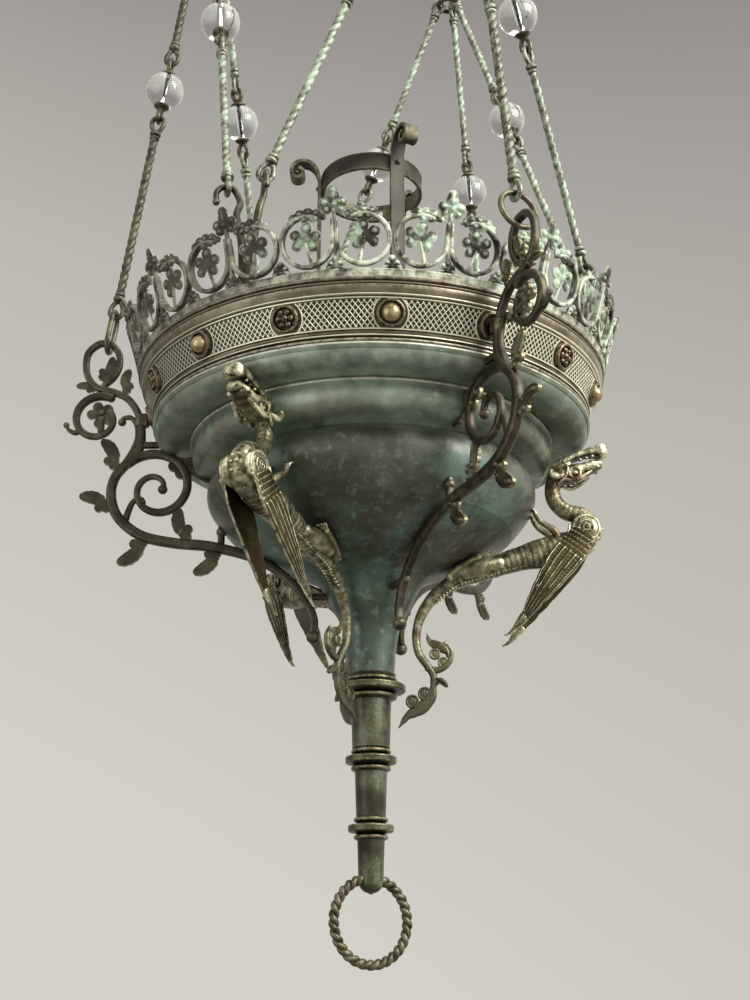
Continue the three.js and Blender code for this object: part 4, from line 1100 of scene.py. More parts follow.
@dataclass
class GalleryBand:
    """The trellis band with its mouldings and row of round bosses."""

    field_middle: float = -16.8
    field_half: float = 9.6
    # Heights of the painted highlights on the moulding beads.
    highlight_levels: tuple = (-4.4, -6.4, -27.2, -31.4)
    count: int = 15
    radius: float = 10.4
    lean: float = math.atan(BAND_LEAN)

    @staticmethod
    def boss_phase() -> float:
        """The first boss's place as a share of the pitch, counted round from +X."""
        return ((BRACKETS["front"] - 90) * GalleryBand.count / 360) % 1 - 0.5

    def profile(self) -> list:
        """The band's closed profile, from the inner top over the outside."""
        face = band_face
        return [
            (face(3) - 4, 3.0), (face(2.6) - 0.9, 3.0), *arc(face(1.8) - 1.0, 1.9, 1.1, 80, 0, 5),
            (face(-1) + 0.1, -1.0), (face(-3.2) + 0.1, -3.2),
            *arc(face(-4.2) - 0.4, -4.1, 0.9, 40, -60, 5), (face(-5.0) - 1.6, -5.0),
            (face(-5.6) - 1.6, -5.7), (face(-6.0) - 0.7, -6.0), (face(-6.8) - 0.7, -6.8),
            (face(-7.2) - 1.4, -7.1), (face(-26.5) - 1.4, -26.5), (face(-26.8) - 0.7, -26.8),
            (face(-27.7) - 0.7, -27.7), (face(-28.2) - 1.7, -28.2), (face(-29.6) - 1.7, -29.8),
            (face(-30.6) - 0.6, -30.6), *arc(face(-31.6) - 0.9, -31.5, 1.0, 40, -50, 5),
            (face(-32.8) - 1.4, -32.8), (face(-33.4) - 0.8, -33.4),
            *arc(face(-34.6) - 0.3, -34.6, 1.3, 60, -90, 6), (face(-36) - 4, -36.0),
        ]

    def collar(self) -> Surface:
        """A boss's raised collar on its own axis (+z outwards)."""
        r = self.radius
        return lathe([(0, -2.4), (r, -2.4), (r, 0.8), *arc(r - 1.3, 1.2, 1.3, 0, 130, 7),
                      (r - 2.6, 0.9), (r - 3.0, 0.2), (0, 0.2)], 40, False)

    def dome(self) -> Surface:
        """The polished dome inside a collar."""
        return lathe([(0, 0.1), (7.0, 0.1), (7.3, 1.2), *arc(0, 0.4, 6.9, 14, 84, 12), (0, 7.3)],
                     40, False)

    def rosette(self) -> Surface:
        """The dished ring of six petals round a knob inside a collar."""
        petals = [ball(4.9 * math.cos(k * math.pi / 3), 4.9 * math.sin(k * math.pi / 3), 1.4,
                       2.2, 2.2) for k in range(6)]
        knob = lathe([(0, 0.1), (3.4, 0.1), (3.4, 1.6), *arc(0, 1.4, 3.2, 10, 84, 8), (0, 4.6)],
                     28, False)
        return joined([*petals, knob])

    def build(self) -> None:
        """Makes the band and its bosses: a low seat under each bracket, then rosette and
        dome by turns."""
        band = make_object("band_ring", lathe(self.profile(), 256), lattice_material(),
                           Body.LAMP)
        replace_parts(band, "gallery_band")
        stand = frame_matrix((0, 1, 0), (math.sin(self.lean), 0, math.cos(self.lean)),
                             (math.cos(self.lean), 0, -math.sin(self.lean)),
                             (band_face(self.field_middle) - 0.6, 0, self.field_middle))
        gilt, red = BOSS_SKIN.material(), COLLAR_SKIN.material()
        pitch, sector = 360 / self.count, self.count // 3
        places = [turned(BRACKETS["front"] + pitch * k) @ stand for k in range(self.count)]
        collars = [self.collar().moved(place) for place in places]
        domes = [self.dome().moved(place) for k, place in enumerate(places)
                 if k % sector in (2, 4)]
        rosettes = [self.rosette().moved(place) for k, place in enumerate(places)
                    if k % sector in (1, 3)]
        for name, parts, skin in (("boss_collars", collars, red), ("boss_domes", domes, gilt),
                                  ("boss_rosettes", rosettes, red)):
            piece = make_object(name, joined(parts), skin, Body.LAMP)
            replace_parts(piece, "gallery_band")


@dataclass
class Crown:
    """The pierced crown: paired scrolls with leaves, leaf finials, buds and a base rim."""

    count: int = 15
    radius: float = 190.0
    foot: float = 5.3
    base_height: float = 8.5
    lean: float = 16.0
    ring_radius: float = 17.9
    wire: float = 1.7
    depth: float = 3.1
    ring_middle: float = 24.6
    finial_height: float = 62.0

    def scroll(self, side: int) -> list[Surface]:
        """One scroll, flat, with its root, stalk, leaf and the leaflets on its crest.

        Args:
            side: -1 for the left or 1 for the right of a finial.

        Returns:
            The surfaces, x along the rim, y up and z outwards.
        """
        cx = side * math.radians(360 / self.count / 4) * self.radius
        start, end = (196, 478) if side > 0 else (-16, -298)
        a = np.radians(np.linspace(start, end, 60))
        r = self.ring_radius + np.linspace(0.8, -0.6, 60)
        ring = np.stack([cx + r * np.cos(a), self.ring_middle + r * 1.02 * np.sin(a),
                         np.zeros(60)], -1)
        rise = smooth([(side * 1.4, 46, 0), (side * 1.5, 36, 0), ring[0], ring[3]], 14)
        strap = sweep(ring, spread([1.5, 1.6, 1.6, 1.4], 60), self.depth, STRAP, (0, 0, 1))
        root = sweep(rise[3:], spread([0.9, 1.3, 1.6], 11), self.depth * 0.8, STRAP, (0, 0, 1))
        stalk = bar([(cx - side * 3.2, self.ring_middle - self.ring_radius, 0),
                     (cx - side * 1.6, self.ring_middle - 10, 0.3),
                     (cx + side * 0.6, self.ring_middle - 2, 0.6)], [1.6, 1.0], 1.3, 12, ROUND,
                    (0, 0, 1))
        lobes = [(8.2, 0, 4.2), (2.6, 7.2, 4.1), (2.6, -7.2, 4.1), (-5.0, 5.8, 3.8),
                 (-5.0, -5.8, 3.8), (0, 0, 4.6)]
        leaf = foliage(lobes, 1.5, 1.2, 7, 60)
        tilt = math.radians(90 + side * 8)
        turn_leaf = frame_matrix((math.cos(tilt), math.sin(tilt), 0),
                                 (-math.sin(tilt), math.cos(tilt), 0), (0, 0, 1),
                                 (cx + side * 0.6, self.ring_middle + 1.4, 0.6))
        crest = foliage([(-9.4, -0.6, 3.0), (-4.2, 1.5, 3.5), (1.6, 2.2, 3.6), (7.2, 1.0, 3.4),
                         (11.4, -1.6, 2.6), (-1.2, -2.2, 3.2), (4.4, -2.0, 3.0)], 1.6, 1.3, 7, 60)
        turn_crest = frame_matrix((1, 0, 0), (0, 1, 0), (0, 0, 1),
                                  (cx - side, self.ring_middle + self.ring_radius, 1.6))
        return [strap, root, stalk, leaf.moved(turn_leaf), crest.moved(turn_crest)]

    def finial(self) -> list[Surface]:
        """The leaf finial on its slender stem."""
        stem = bar([(0, 4, 0), (0, 20, 0), (0, self.finial_height - 14, 0)], [1.4, 1.1, 1.3],
                   1.8, 20, STRAP, (0, 0, 1))
        lobes = [(9.6, 0, 3.5), (5.4, 0, 4.3), (0.6, 5.8, 3.8), (0.6, -5.8, 3.8),
                 (-4.2, 4.6, 3.1), (-4.2, -4.6, 3.1), (0, 0, 4.2)]
        leaf = foliage(lobes, 2.0, 2.4, 7, 56, (1.0, 0.0), 0.006)
        up = frame_matrix((0, 1, 0), (-1, 0, 0), (0, 0, 1), (0, self.finial_height - 12, 0.6))
        return [stem, leaf.moved(up)]

    def bud(self) -> Surface:
        """A small leafy bud that fills the foot between two scrolls."""
        lobes = [(4.6, 0, 2.6), (1.6, 3.0, 2.6), (1.6, -3.0, 2.6), (-1.6, 4.6, 2.2),
                 (-1.6, -4.6, 2.2), (0, 0, 2.6)]
        up = frame_matrix((0, 1, 0), (-1, 0, 0), (0, 0, 1), (0, 5.2, 0.4))
        return foliage(lobes, 2.4, 2.0, 5, 36).moved(up)

    def base(self) -> Surface:
        """The sloping strip that the crown's scrolls stand on."""
        foot, top = self.foot, self.foot + self.base_height
        r = self.radius
        return lathe([
            (r - 4.6, foot + 3.0), (r + 1.2, foot + 3.0), (r + 2.9, top - 1.4),
            *arc(r + 2.2, top - 0.9, 0.9, 0, 100, 5), (r - 1.2, top - 0.2), (r - 3.6, foot + 4.4),
        ], 256)

    def flange(self) -> Surface:
        """The plain brown flange that holds the strip to the bowl's lip."""
        foot, r = self.foot, self.radius
        return lathe([
            (r - 5.2, foot), (r + 0.9, foot), *arc(r + 1.1, foot + 1.3, 1.3, -80, 40, 6),
            (r + 1.9, foot + 2.9), (r - 4.8, foot + 2.9),
        ], 256)

    def build(self) -> None:
        """Makes the crown's pierced work in one piece, and the flange under it."""
        pitch = 360 / self.count
        parts = [self.base()]
        bay = joined([*self.scroll(-1), *self.scroll(1), *self.finial(), self.bud()])
        for k in range(self.count):
            azimuth = BRACKETS["front"] + pitch * (k + 0.5)
            parts.append(self.bend(bay, azimuth))
            parts.append(self.bend(self.bud(), azimuth + pitch / 2))
        crown = make_object("pierced_crown", joined(parts), crown_material(), Body.LAMP,
                            55)
        flange = make_object("crown_flange", self.flange(), BROWN_SKIN.material(), Body.LAMP)
        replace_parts(crown, "crown_gallery")
        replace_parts(flange, "crown_gallery")

    def bend(self, work: Surface, azimuth: float) -> Surface:
        """Lays flat crown work on the leaning cone, so that it follows the rim's curve.

        A point (x, y, z) goes to radius R + y sin(lean) + z cos(lean), height y cos(lean)
        - z sin(lean) above the base and angle x / R from the azimuth.

        Args:
            work: the flat work.
            azimuth: where its middle stands.

        Returns:
            The bent surface.
        """
        a = math.radians(self.lean)
        x, y, z = work.verts.T
        r = self.radius + y * math.sin(a) + z * math.cos(a)
        angle = x / self.radius
        verts = np.stack([r * np.cos(angle), r * np.sin(angle),
                          self.foot + self.base_height - 2 + y * math.cos(a) - z * math.sin(a)], -1)
        return Surface(verts, work.quads, work.quad_uv).moved(turned(azimuth))


def twisted_bar(low: float, high: float, radius: float, lay: float) -> Surface:
    """A bar of square stock twisted cold, along +z.

    Its section has radius R (0.72 + 0.28 |cos(a)|) and turns once in each lay.

    Args:
        low: where it starts.
        high: where it ends.
        radius: largest radius R.
        lay: length of one turn.

    Returns:
        The surface.
    """
    count = int((high - low) / 0.7)
    path = np.stack([np.zeros(count), np.zeros(count), np.linspace(low, high, count)], -1)
    a = np.linspace(0, 2 * math.pi, 16, endpoint=False)
    shape = np.stack([np.cos(a), np.sin(a)], -1) * (0.72 + 0.28 * abs(np.cos(a)))[:, None]
    twist = np.linspace(0, 2 * math.pi * (high - low) / lay, count)
    return sweep(path, radius, radius, shape, (0, 1, 0), twist)


def cast_leaf(start: tuple, tip: tuple, side: int = 1, curl: float = 0.0,
              shift: float = 0.0) -> Surface:
    """A bracket's cast leaf: a long oval lobe with two round ones on one side of its foot.

    Args:
        start: profile point where it leaves the stem.
        tip: profile point of its tip.
        side: 1 or -1, the side that the round lobes are on.
        curl: bend out of its plane per square millimetre.
        shift: place along the rim.

    Returns:
        The surface.
    """
    length = math.hypot(tip[0] - start[0], tip[1] - start[1])
    lobes = np.array([
        (0.06, 0, 0.05), (0.16, 0.01, 0.07), (0.28, 0.03, 0.10), (0.42, 0.07, 0.155),
        (0.54, 0.08, 0.175), (0.66, 0.08, 0.175), (0.78, 0.06, 0.15), (0.88, 0.03, 0.10),
        (0.36, -0.15, 0.12), (0.17, -0.11, 0.11),
    ]) * length
    lobes[:, 1] *= side
    leaf = foliage(lobes, 2.8, 2.4, 8, 96, (0.40 * length, 0), curl)
    return leaf.moved(leaf_matrix(*start, *tip, shift))


@dataclass
class Brackets:
    """The three scrolled brackets that carry the bowl, with leaves and curled ends."""

    hook: tuple = (224.0, 52.0)

    def surfaces(self) -> tuple[Surface, Surface]:
        """One bracket in the profile plane: its scrolled bars with seat and lugs, and its
        leaves.

        Returns:
            The bars and the leaves.
        """
        x, z = self.hook
        soft = section(20, 0.62)
        stem = [
            (225, 13), (217.5, 20), (213.2, 30), (214, 42), (x - 4, z - 1.4), (x, z), (232, 51.5),
            (240.5, 42), (240, 24), (231, 11.5), (217, 7), (204.5, 1), (195, -12), (190.8, -27),
            (191.5, -44), (201, -57), (210, -69), (212.8, -83), (209, -99), (199, -111.5),
            (183, -121.5), (158, -127), (130, -130), (98, -138.5), (74, -151.5), (55.5, -170),
            (45.5, -189), (45, -203),
        ]
        plane = [2.4, 2.9, 2.9, 2.9, 3.2, 3.8, 4.2, 4.2, 4.2, 3.8, 3.4, 3.0]
        across = [3, 3, 3, 3.2, 3.6, 3.9, 4, 4, 3.9, 3.8, 3.5, 3.2]
        upper = spiral(228, -17.5, 21.5, 12, 118, -215, 120)
        lower = spiral(176, -80, 33, 6, 42, 525, 200)
        parts = [
            bar(stem, plane, across, 380, soft),
            sweep(upper, spread([3.4, 2.4], 120), spread([3.4, 2.6], 120), soft),
            sweep(lower, spread([3.8, 2.2], 200), spread([3.6, 2.6], 200), soft),
            bar([(202, -57), (196.5, -46), (193.6, -35), (195, -24), (200, -16.8),
                 (206, -17), (208.4, -20)], [3, 1.9], [3, 1.9], 40, soft),
            bar([(200, -109), (197.5, -99), (194, -91), (188, -88.6), (185.6, -91.5)],
                [2.8, 1.9], [2.8, 1.9], 30, soft),
            bar([(241.5, -27), (246, -29.6), (251, -27.6), (254, -24)], [2.4, 1.5],
                [2.4, 1.5], 24, soft),
            ball(45.6, 0, -205.4, 5.4), ball(170.6, 0, -80.6, 4.0), ball(207.6, 0, -20.6, 3.4),
            ball(186.4, 0, -91.6, 2.6), ball(254.2, 0, -22.6, 2.6), ball(225, 0, -12, 3.6),
        ]
        leaves = [
            cast_leaf((231, 11), (248.5, 12.4), 1), cast_leaf((208, 5), (203.2, 28), -1),
            cast_leaf((210, -95), (239.5, -86), 1), cast_leaf((179, -124), (205, -144), -1),
            cast_leaf((151, -127), (156, -96), -1), cast_leaf((119, -133), (143, -153), -1),
            cast_leaf((166, -52), (128, -76), -1), cast_leaf((207, -62), (224, -36), 1),
            cast_leaf((226, 16), (219, 40), 1),
        ]
        rose = [(0, 0, 4.6), (7.6, 0, 4.6), (2.6, 7.2, 4.4), (2.6, -7.2, 4.4), (-5.6, 5.2, 4.0),
                (-5.6, -5.2, 4.0)]
        leaves.append(foliage(rose, 3.0, 2.4, 6, 60).moved(leaf_matrix(226, -14, 216, -6)))
        seat = in_profile(np.linspace((193, -19.5), (187.6, -19.5), 5))
        parts.append(sweep(seat, 6.2, 4.4, soft))
        for start, end in (((225, -17.5), (225, -28)), ((190, -41.5), (174, -41.5)),
                           ((121, -131), (121, -114)), ((57, -173), (31.5, -173))):
            parts.append(sweep(in_profile(np.linspace(start, end, 8)), 2.8, 2.8, soft))
        parts.append(ball(121, 0, -118, 4.2))
        return joined(parts), joined(leaves)

    def build(self) -> None:
        """Makes the three brackets."""
        bars, leaves = self.surfaces()
        kinds = (("bars", bars, DARK_SKIN.material()), ("leaves", leaves, LEAF_SKIN.material()))
        for name, azimuth in BRACKETS.items():
            for label, surface, skin in kinds:
                piece = make_object(f"bracket_{label}_{name}", surface.moved(turned(azimuth)),
                                    skin, Body.LAMP)
                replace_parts(piece, f"scroll_bracket_{name}")


@dataclass
class Beasts:
    """The three winged beasts that climb the bowl, ending in leafy tails."""

    shoulder: tuple = (171.0, -121.0)
    wing_side: float = 12.0
    wing_lean: float = 2.6
    wing_root: float = 122.0

    def body(self) -> Surface:
        """Neck, body and tail as one tapering sweep, with 70 faint ribs round it."""
        spine = [
            (158, -63), (151.5, -70), (147, -82), (148.5, -94), (157, -103), (169, -107),
            (175, -117), (168, -128), (151, -133.5), (133, -138.5), (113, -144), (92, -151),
            (66, -161), (48, -175), (37, -195), (36.5, -217), (48, -236), (46.5, -250), (37, -261),
        ]
        plane = [6.4, 6.2, 6.4, 7, 8.4, 11, 12, 11.6, 9.6, 8.6, 7.6, 6.4, 5.2, 4.4, 3.6, 3.2, 3,
                 2.6, 1.6]
        across = [6, 5.6, 5.8, 6.6, 8.2, 11.4, 13, 12, 10, 8.6, 7.6, 6.4, 5.2, 4.4, 3.8, 3.4, 3.2,
                  2.8, 1.6]
        count = 300
        line = in_profile(smooth(spine, count))
        rib = 1 + 0.008 * np.sin(np.linspace(0, 2 * math.pi * 70, count))
        return sweep(line, spread(plane, count) * rib, spread(across, count) * rib, FINE)

    def head(self) -> list[Surface]:
        """The skull, turned upside down as the beast clings under the bowl, and its jaw."""
        parts = [
            bar([(149, -72), (156, -71.6), (164, -70.2), (172, -67.6), (179, -65), (185.5, -62.4)],
                [6, 7.6, 8, 7.0, 5.6, 5.0, 4.0], [6.4, 9.6, 11.2, 10.4, 9.6, 9.2, 7.0], 70, FINE),
            bar([(151, -65), (160, -59.0), (170, -54.8), (179, -52.2), (188, -51.4)],
                [4.6, 3.2, 2.4, 2.4, 3.4, 5.8], [7.2, 7.4, 7.0, 7.2, 8.0, 8.6], 50,
                section(20, 0.5)),
        ]
        for side in (-1, 1):
            parts += [
                ball(164.5, side * 9.4, -73.4, 3.0), self.circle(164.5, side * 11.4, -73.4, 4.4, 1.0),
                ball(183.5, side * 6.0, -66.4, 2.0),
            ]
            brow = [(156, side * 9.2, -78.0), (163, side * 10.4, -79.2), (170, side * 9.4, -76.2),
                    (178, side * 7.4, -71)]
            ear = [(155, side * 9.4, -75), (149.5, side * 12.4, -76.5), (145, side * 13.0, -74),
                   (146.5, side * 12.6, -70.6)]
            cheek = [(151, side * 8.4, -82), (157, side * 10.6, -76), (159, side * 11.2, -69),
                     (155, side * 9.2, -63)]
            for line, plane, across, count in ((brow, [1.2, 2.1, 0.9], 1.5, 22),
                                               (ear, [1.6, 3.0, 1.2], 1.8, 20),
                                               (cheek, 1.0, 1.0, 22)):
                parts.append(bar(line, plane, across, count, ROUND, None))
            for x, z in ((170, -60.4), (175, -58.8), (180, -57.2)):
                parts.append(ball(x, side * 6.0, z, 1.3))
        return parts

    def circle(self, x: float, y: float, z: float, radius: float, wire: float) -> Surface:
        """A raised ring in a plane along the profile plane.

        Args:
            x: its middle's place outwards.
            y: its place along the rim.
            z: its height.
            radius: its radius.
            wire: radius of its round section.

        Returns:
            The surface.
        """
        a = np.linspace(0, 2 * math.pi, 48, endpoint=False)
        path = np.stack([x + radius * np.cos(a), np.full(48, y), z + radius * np.sin(a)], -1)
        return sweep(path, wire, wire, ROUND, (0, 1, 0), closed=True)

    def shoulders(self, side: int) -> list[Surface]:
        """The round shoulder with its raised rings, on the side -1 or 1 of the body."""
        x, z = self.shoulder
        reach, bulge = 12.5, 5.0
        parts = [ball(x, side * 10.4, z, reach, bulge)]
        for radius, wire in ((10.2, 1.1), (5.8, 0.9), (2.6, 0.8)):
            rise = 10.4 + bulge * math.sqrt(1 - (radius / reach) ** 2)
            parts.append(self.circle(x, side * rise, z, radius, wire))
        parts.append(ball(x, side * 15.4, z, 1.3))
        shield = [(x + 9, side * 14.0, z - 9), (x + 1, side * 14.6, z - 13.6),
                  (x - 9, side * 14.6, z - 13), (x - 14, side * 13.6, z - 6),
                  (x - 13, side * 12.0, z + 3)]
        parts.append(bar(shield, 1.1, 1.1, 40, ROUND, None))
        return parts

    def wing(self, side: int) -> list[Surface]:
        """A folded wing: scale rows at the shoulder, then ribs that run to two thin tips.

        The relief at length s (0 to 1) and width t (-1 to 1) is a ridge
        1.35 exp(-((t - t_k)/0.075)^2) on each of five ribs k, with a row of 36 beads between
        neighbouring ribs that fade towards the tip, and scallops in 26 rows where s is below
        0.27. It all calms down where the wing is narrower than 8 mm each way.

        Args:
            side: -1 or 1, the side of the body.

        Returns:
            The wing, and its second tip.
        """
        rows, columns = 180, 61
        line = smooth([(174, -118), (162, -135), (149.5, -150.5), (136.5, -169), (128.5, -180.5),
                       (122, -190.5), (111.5, -203.5)], rows)
        tangent = np.gradient(line, axis=0)
        tangent = tangent / np.linalg.norm(tangent, axis=1, keepdims=True)
        perp = np.stack([tangent[:, 1], -tangent[:, 0]], -1)
        half = spread([4, 10.5, 12.4, 12.2, 10.6, 8.6, 6.2, 3.8, 2.0], rows)
        s = np.linspace(0, 1, rows)[:, None]
        t = np.linspace(-1, 1, columns)[None]
        ribs = np.linspace(-0.86, 0.86, 5)
        ridge = 1.35 * np.exp(-((t[..., None] - ribs) / 0.075) ** 2).sum(-1)
        between = np.exp(-((t[..., None] - (ribs[:-1] + 0.215)) / 0.09) ** 2).sum(-1)
        beads = between * np.maximum(np.sin(2 * math.pi * s * 36), 0) * 0.4 * (1 - 0.85 * s)
        length = 26 * s
        scallop = abs(np.sin(math.pi * (t * 3.5 + 0.5 * np.floor(length))))
        scales = 0.9 * (1 - np.mod(length, 1)) * (0.4 + 0.6 * scallop)
        share = 1 / (1 + np.exp((s - 0.27) * 80))
        relief = (ridge + beads) * (1 - share) + scales * share
        swell = 1.6 * np.sqrt(np.maximum(1 - t ** 2, 0)) * (1 - 0.5 * s)
        calm = np.clip(half / 8, 0.15, 1)[:, None]
        high = 0.7 + swell + 0.95 * calm * relief * np.minimum(1, (1 - abs(t)) * 8 + 0.2)
        low = np.broadcast_to(-0.9 + 0 * t, high.shape)
        place = line[:, None] + (t * half[:, None])[..., None] * perp[:, None]
        outer = np.stack([place[..., 0], side * high, place[..., 1]], -1)
        inner = np.stack([place[..., 0], side * low, place[..., 1]], -1)[:, ::-1]
        loop = np.concatenate([outer, inner], 1)
        ends = [np.broadcast_to(loop[k].mean(0), loop[k].shape)[None] for k in (0, -1)]
        surface = grid(np.concatenate([ends[0], loop, ends[1]]), False, True)
        tip = bar([(119, -194.5), (112.5, -202.5), (108, -207.2), (103.5, -209.5)],
                  [4.0, 3.0, 1.6, 0.7], [1.8, 1.4, 0.9, 0.5], 24)
        a = math.radians(side * self.wing_lean)
        tilt = frame_matrix((1, 0, 0), (0, math.cos(a), math.sin(a)),
                            (0, -math.sin(a), math.cos(a)), (0, 0, 0))
        lift, back = np.eye(4), np.eye(4)
        lift[2, 3], back[2, 3] = self.wing_root, -self.wing_root
        back[1, 3] = side * (self.wing_side + 1.2)
        return [part.moved(back @ tilt @ lift) for part in (surface, tip)]

    def legs(self, side: int) -> list[Surface]:
        """Fore and hind legs with toes that grip the bowl, on the side -1 or 1."""
        parts = [
            bar([(150, side * 7, -131), (146, side * 8.4, -122), (136, side * 8.6, -114.5),
                 (131.4, side * 8.8, -107.5)], [3.8, 3.0, 2.4, 2.3], [3.6, 3.0, 2.4, 2.3], 30,
                FINE, None),
            bar([(102, side * 6, -147.5), (88, side * 8.4, -151.5), (72, side * 9, -156),
                 (63, side * 8.4, -159.5)], [5, 7.4, 6.2, 3.6], [4.4, 5.2, 4.6, 3.2], 34,
                FINE, None),
            bar([(62, side * 8.6, -159), (70, side * 11, -152.6), (80, side * 13, -147.4),
                 (86, side * 13.4, -144.4)], [3.2, 2.5, 2.4], [3.2, 2.6, 2.6], 26, FINE, None),
        ]
        for toe in (-1, 0, 1):
            fore = [(131.6, side * 8.8 + toe, -108), (130.0, side * 8.8 + toe * 2.4, -105),
                    (127.6, side * 8.8 + toe * 3.0, -104.6)]
            hind = [(85.4, side * 13.2 + toe, -144.8), (89.4, side * 13.4 + toe * 2.4, -142.8),
                    (92.6, side * 13.4 + toe * 3.4, -141.8)]
            parts += [bar(fore, [1.3, 0.6], 1.1, 10, ROUND, None),
                      bar(hind, [1.5, 0.7], 1.3, 10, ROUND, None)]
        return parts

    def beading(self) -> list[Surface]:
        """Rows of beads down both sides of the body and along the breast."""
        parts = []
        line = smooth([(161, -131), (151, -134), (133, -139), (113, -144.6), (92, -151.6),
                       (66, -161.6), (50, -174)], 40)
        drop = spread([11, 9.4, 8.4, 7.6, 6.6, 5.4, 4.6], 40)
        tangent = np.gradient(line, axis=0)
        tangent = tangent / np.linalg.norm(tangent, axis=1, keepdims=True)
        for k in range(40):
            below = line[k] + np.array([-tangent[k, 1], tangent[k, 0]]) * drop[k] * 0.8
            for side in (-1, 1):
                parts.append(ball(below[0], side * drop[k] * 0.58, below[1], 1.25))
        for x, z in ((171, -104), (177.5, -108), (182, -113.5), (184, -119), (182.5, -125)):
            for side in (-1, 1):
                parts.append(ball(x, side * 2.4, z, 1.5))
        return parts

    def tail(self) -> list[Surface]:
        """The curl beside the tail and its leaves."""
        return [
            bar([(44, -231), (52, -232.4), (60, -227), (62.4, -218), (58, -211)],
                [2.6, 2.4, 1.8], [2.8, 2.6, 2.0], 36, section(20, 0.7)),
            self.tail_leaf([(61.5, -224), (58.6, -217.4), (52.2, -213.2), (46, -209.6),
                            (43.6, -203.4)], ((49.6, -219.6), (56.2, -226.4)), 0.8),
            self.tail_leaf([(47.5, -240), (47.6, -251.5), (39, -262), (28.5, -268),
                            (21.4, -277)], ((41.4, -251.0), (31.8, -257.0)), 1.0),
            cast_leaf((48.5, -238), (59.5, -246), 1),
        ]

    def tail_leaf(self, points: list, lobes: tuple, scale: float) -> Surface:
        """A leaf with a long curved tip and two dished round lobes on its inner side.

        Args:
            points: profile points from the leaf's foot to its tip.
            lobes: the lobes' middles in the profile plane.
            scale: size of the lobes and of the tip's width.

        Returns:
            The surface.
        """
        line = in_profile(smooth(points, 60))
        plane = spread([1.8, 2.6, 4.4, 5.0, 4.0, 2.4, 0.6], 60) * scale
        parts = [sweep(line, plane, spread([2.0, 2.4, 2.2, 1.8, 0.7], 60), section(20, 0.9))]
        for x, z in lobes:
            parts += [ball(x, 0, z, 5.2 * scale, 2.0),
                      self.circle(x, 1.4, z, 4.4 * scale, 0.9),
                      self.circle(x, -1.4, z, 4.4 * scale, 0.9)]
        return joined(parts)

    def build(self) -> None:
        """Makes the three beasts."""
        skin = beast_material()
        parts = [self.body(), *self.head(), *self.beading(), *self.tail()]
        for side in (-1, 1):
            parts += [*self.shoulders(side), *self.wing(side), *self.legs(side)]
        beast = joined(parts)
        for name, azimuth in FITTINGS.items():
            piece = make_object(f"climbing_beast_{name}", beast.moved(turned(azimuth)), skin,
                                Body.LAMP)
            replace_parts(piece, f"winged_beast_{name}")


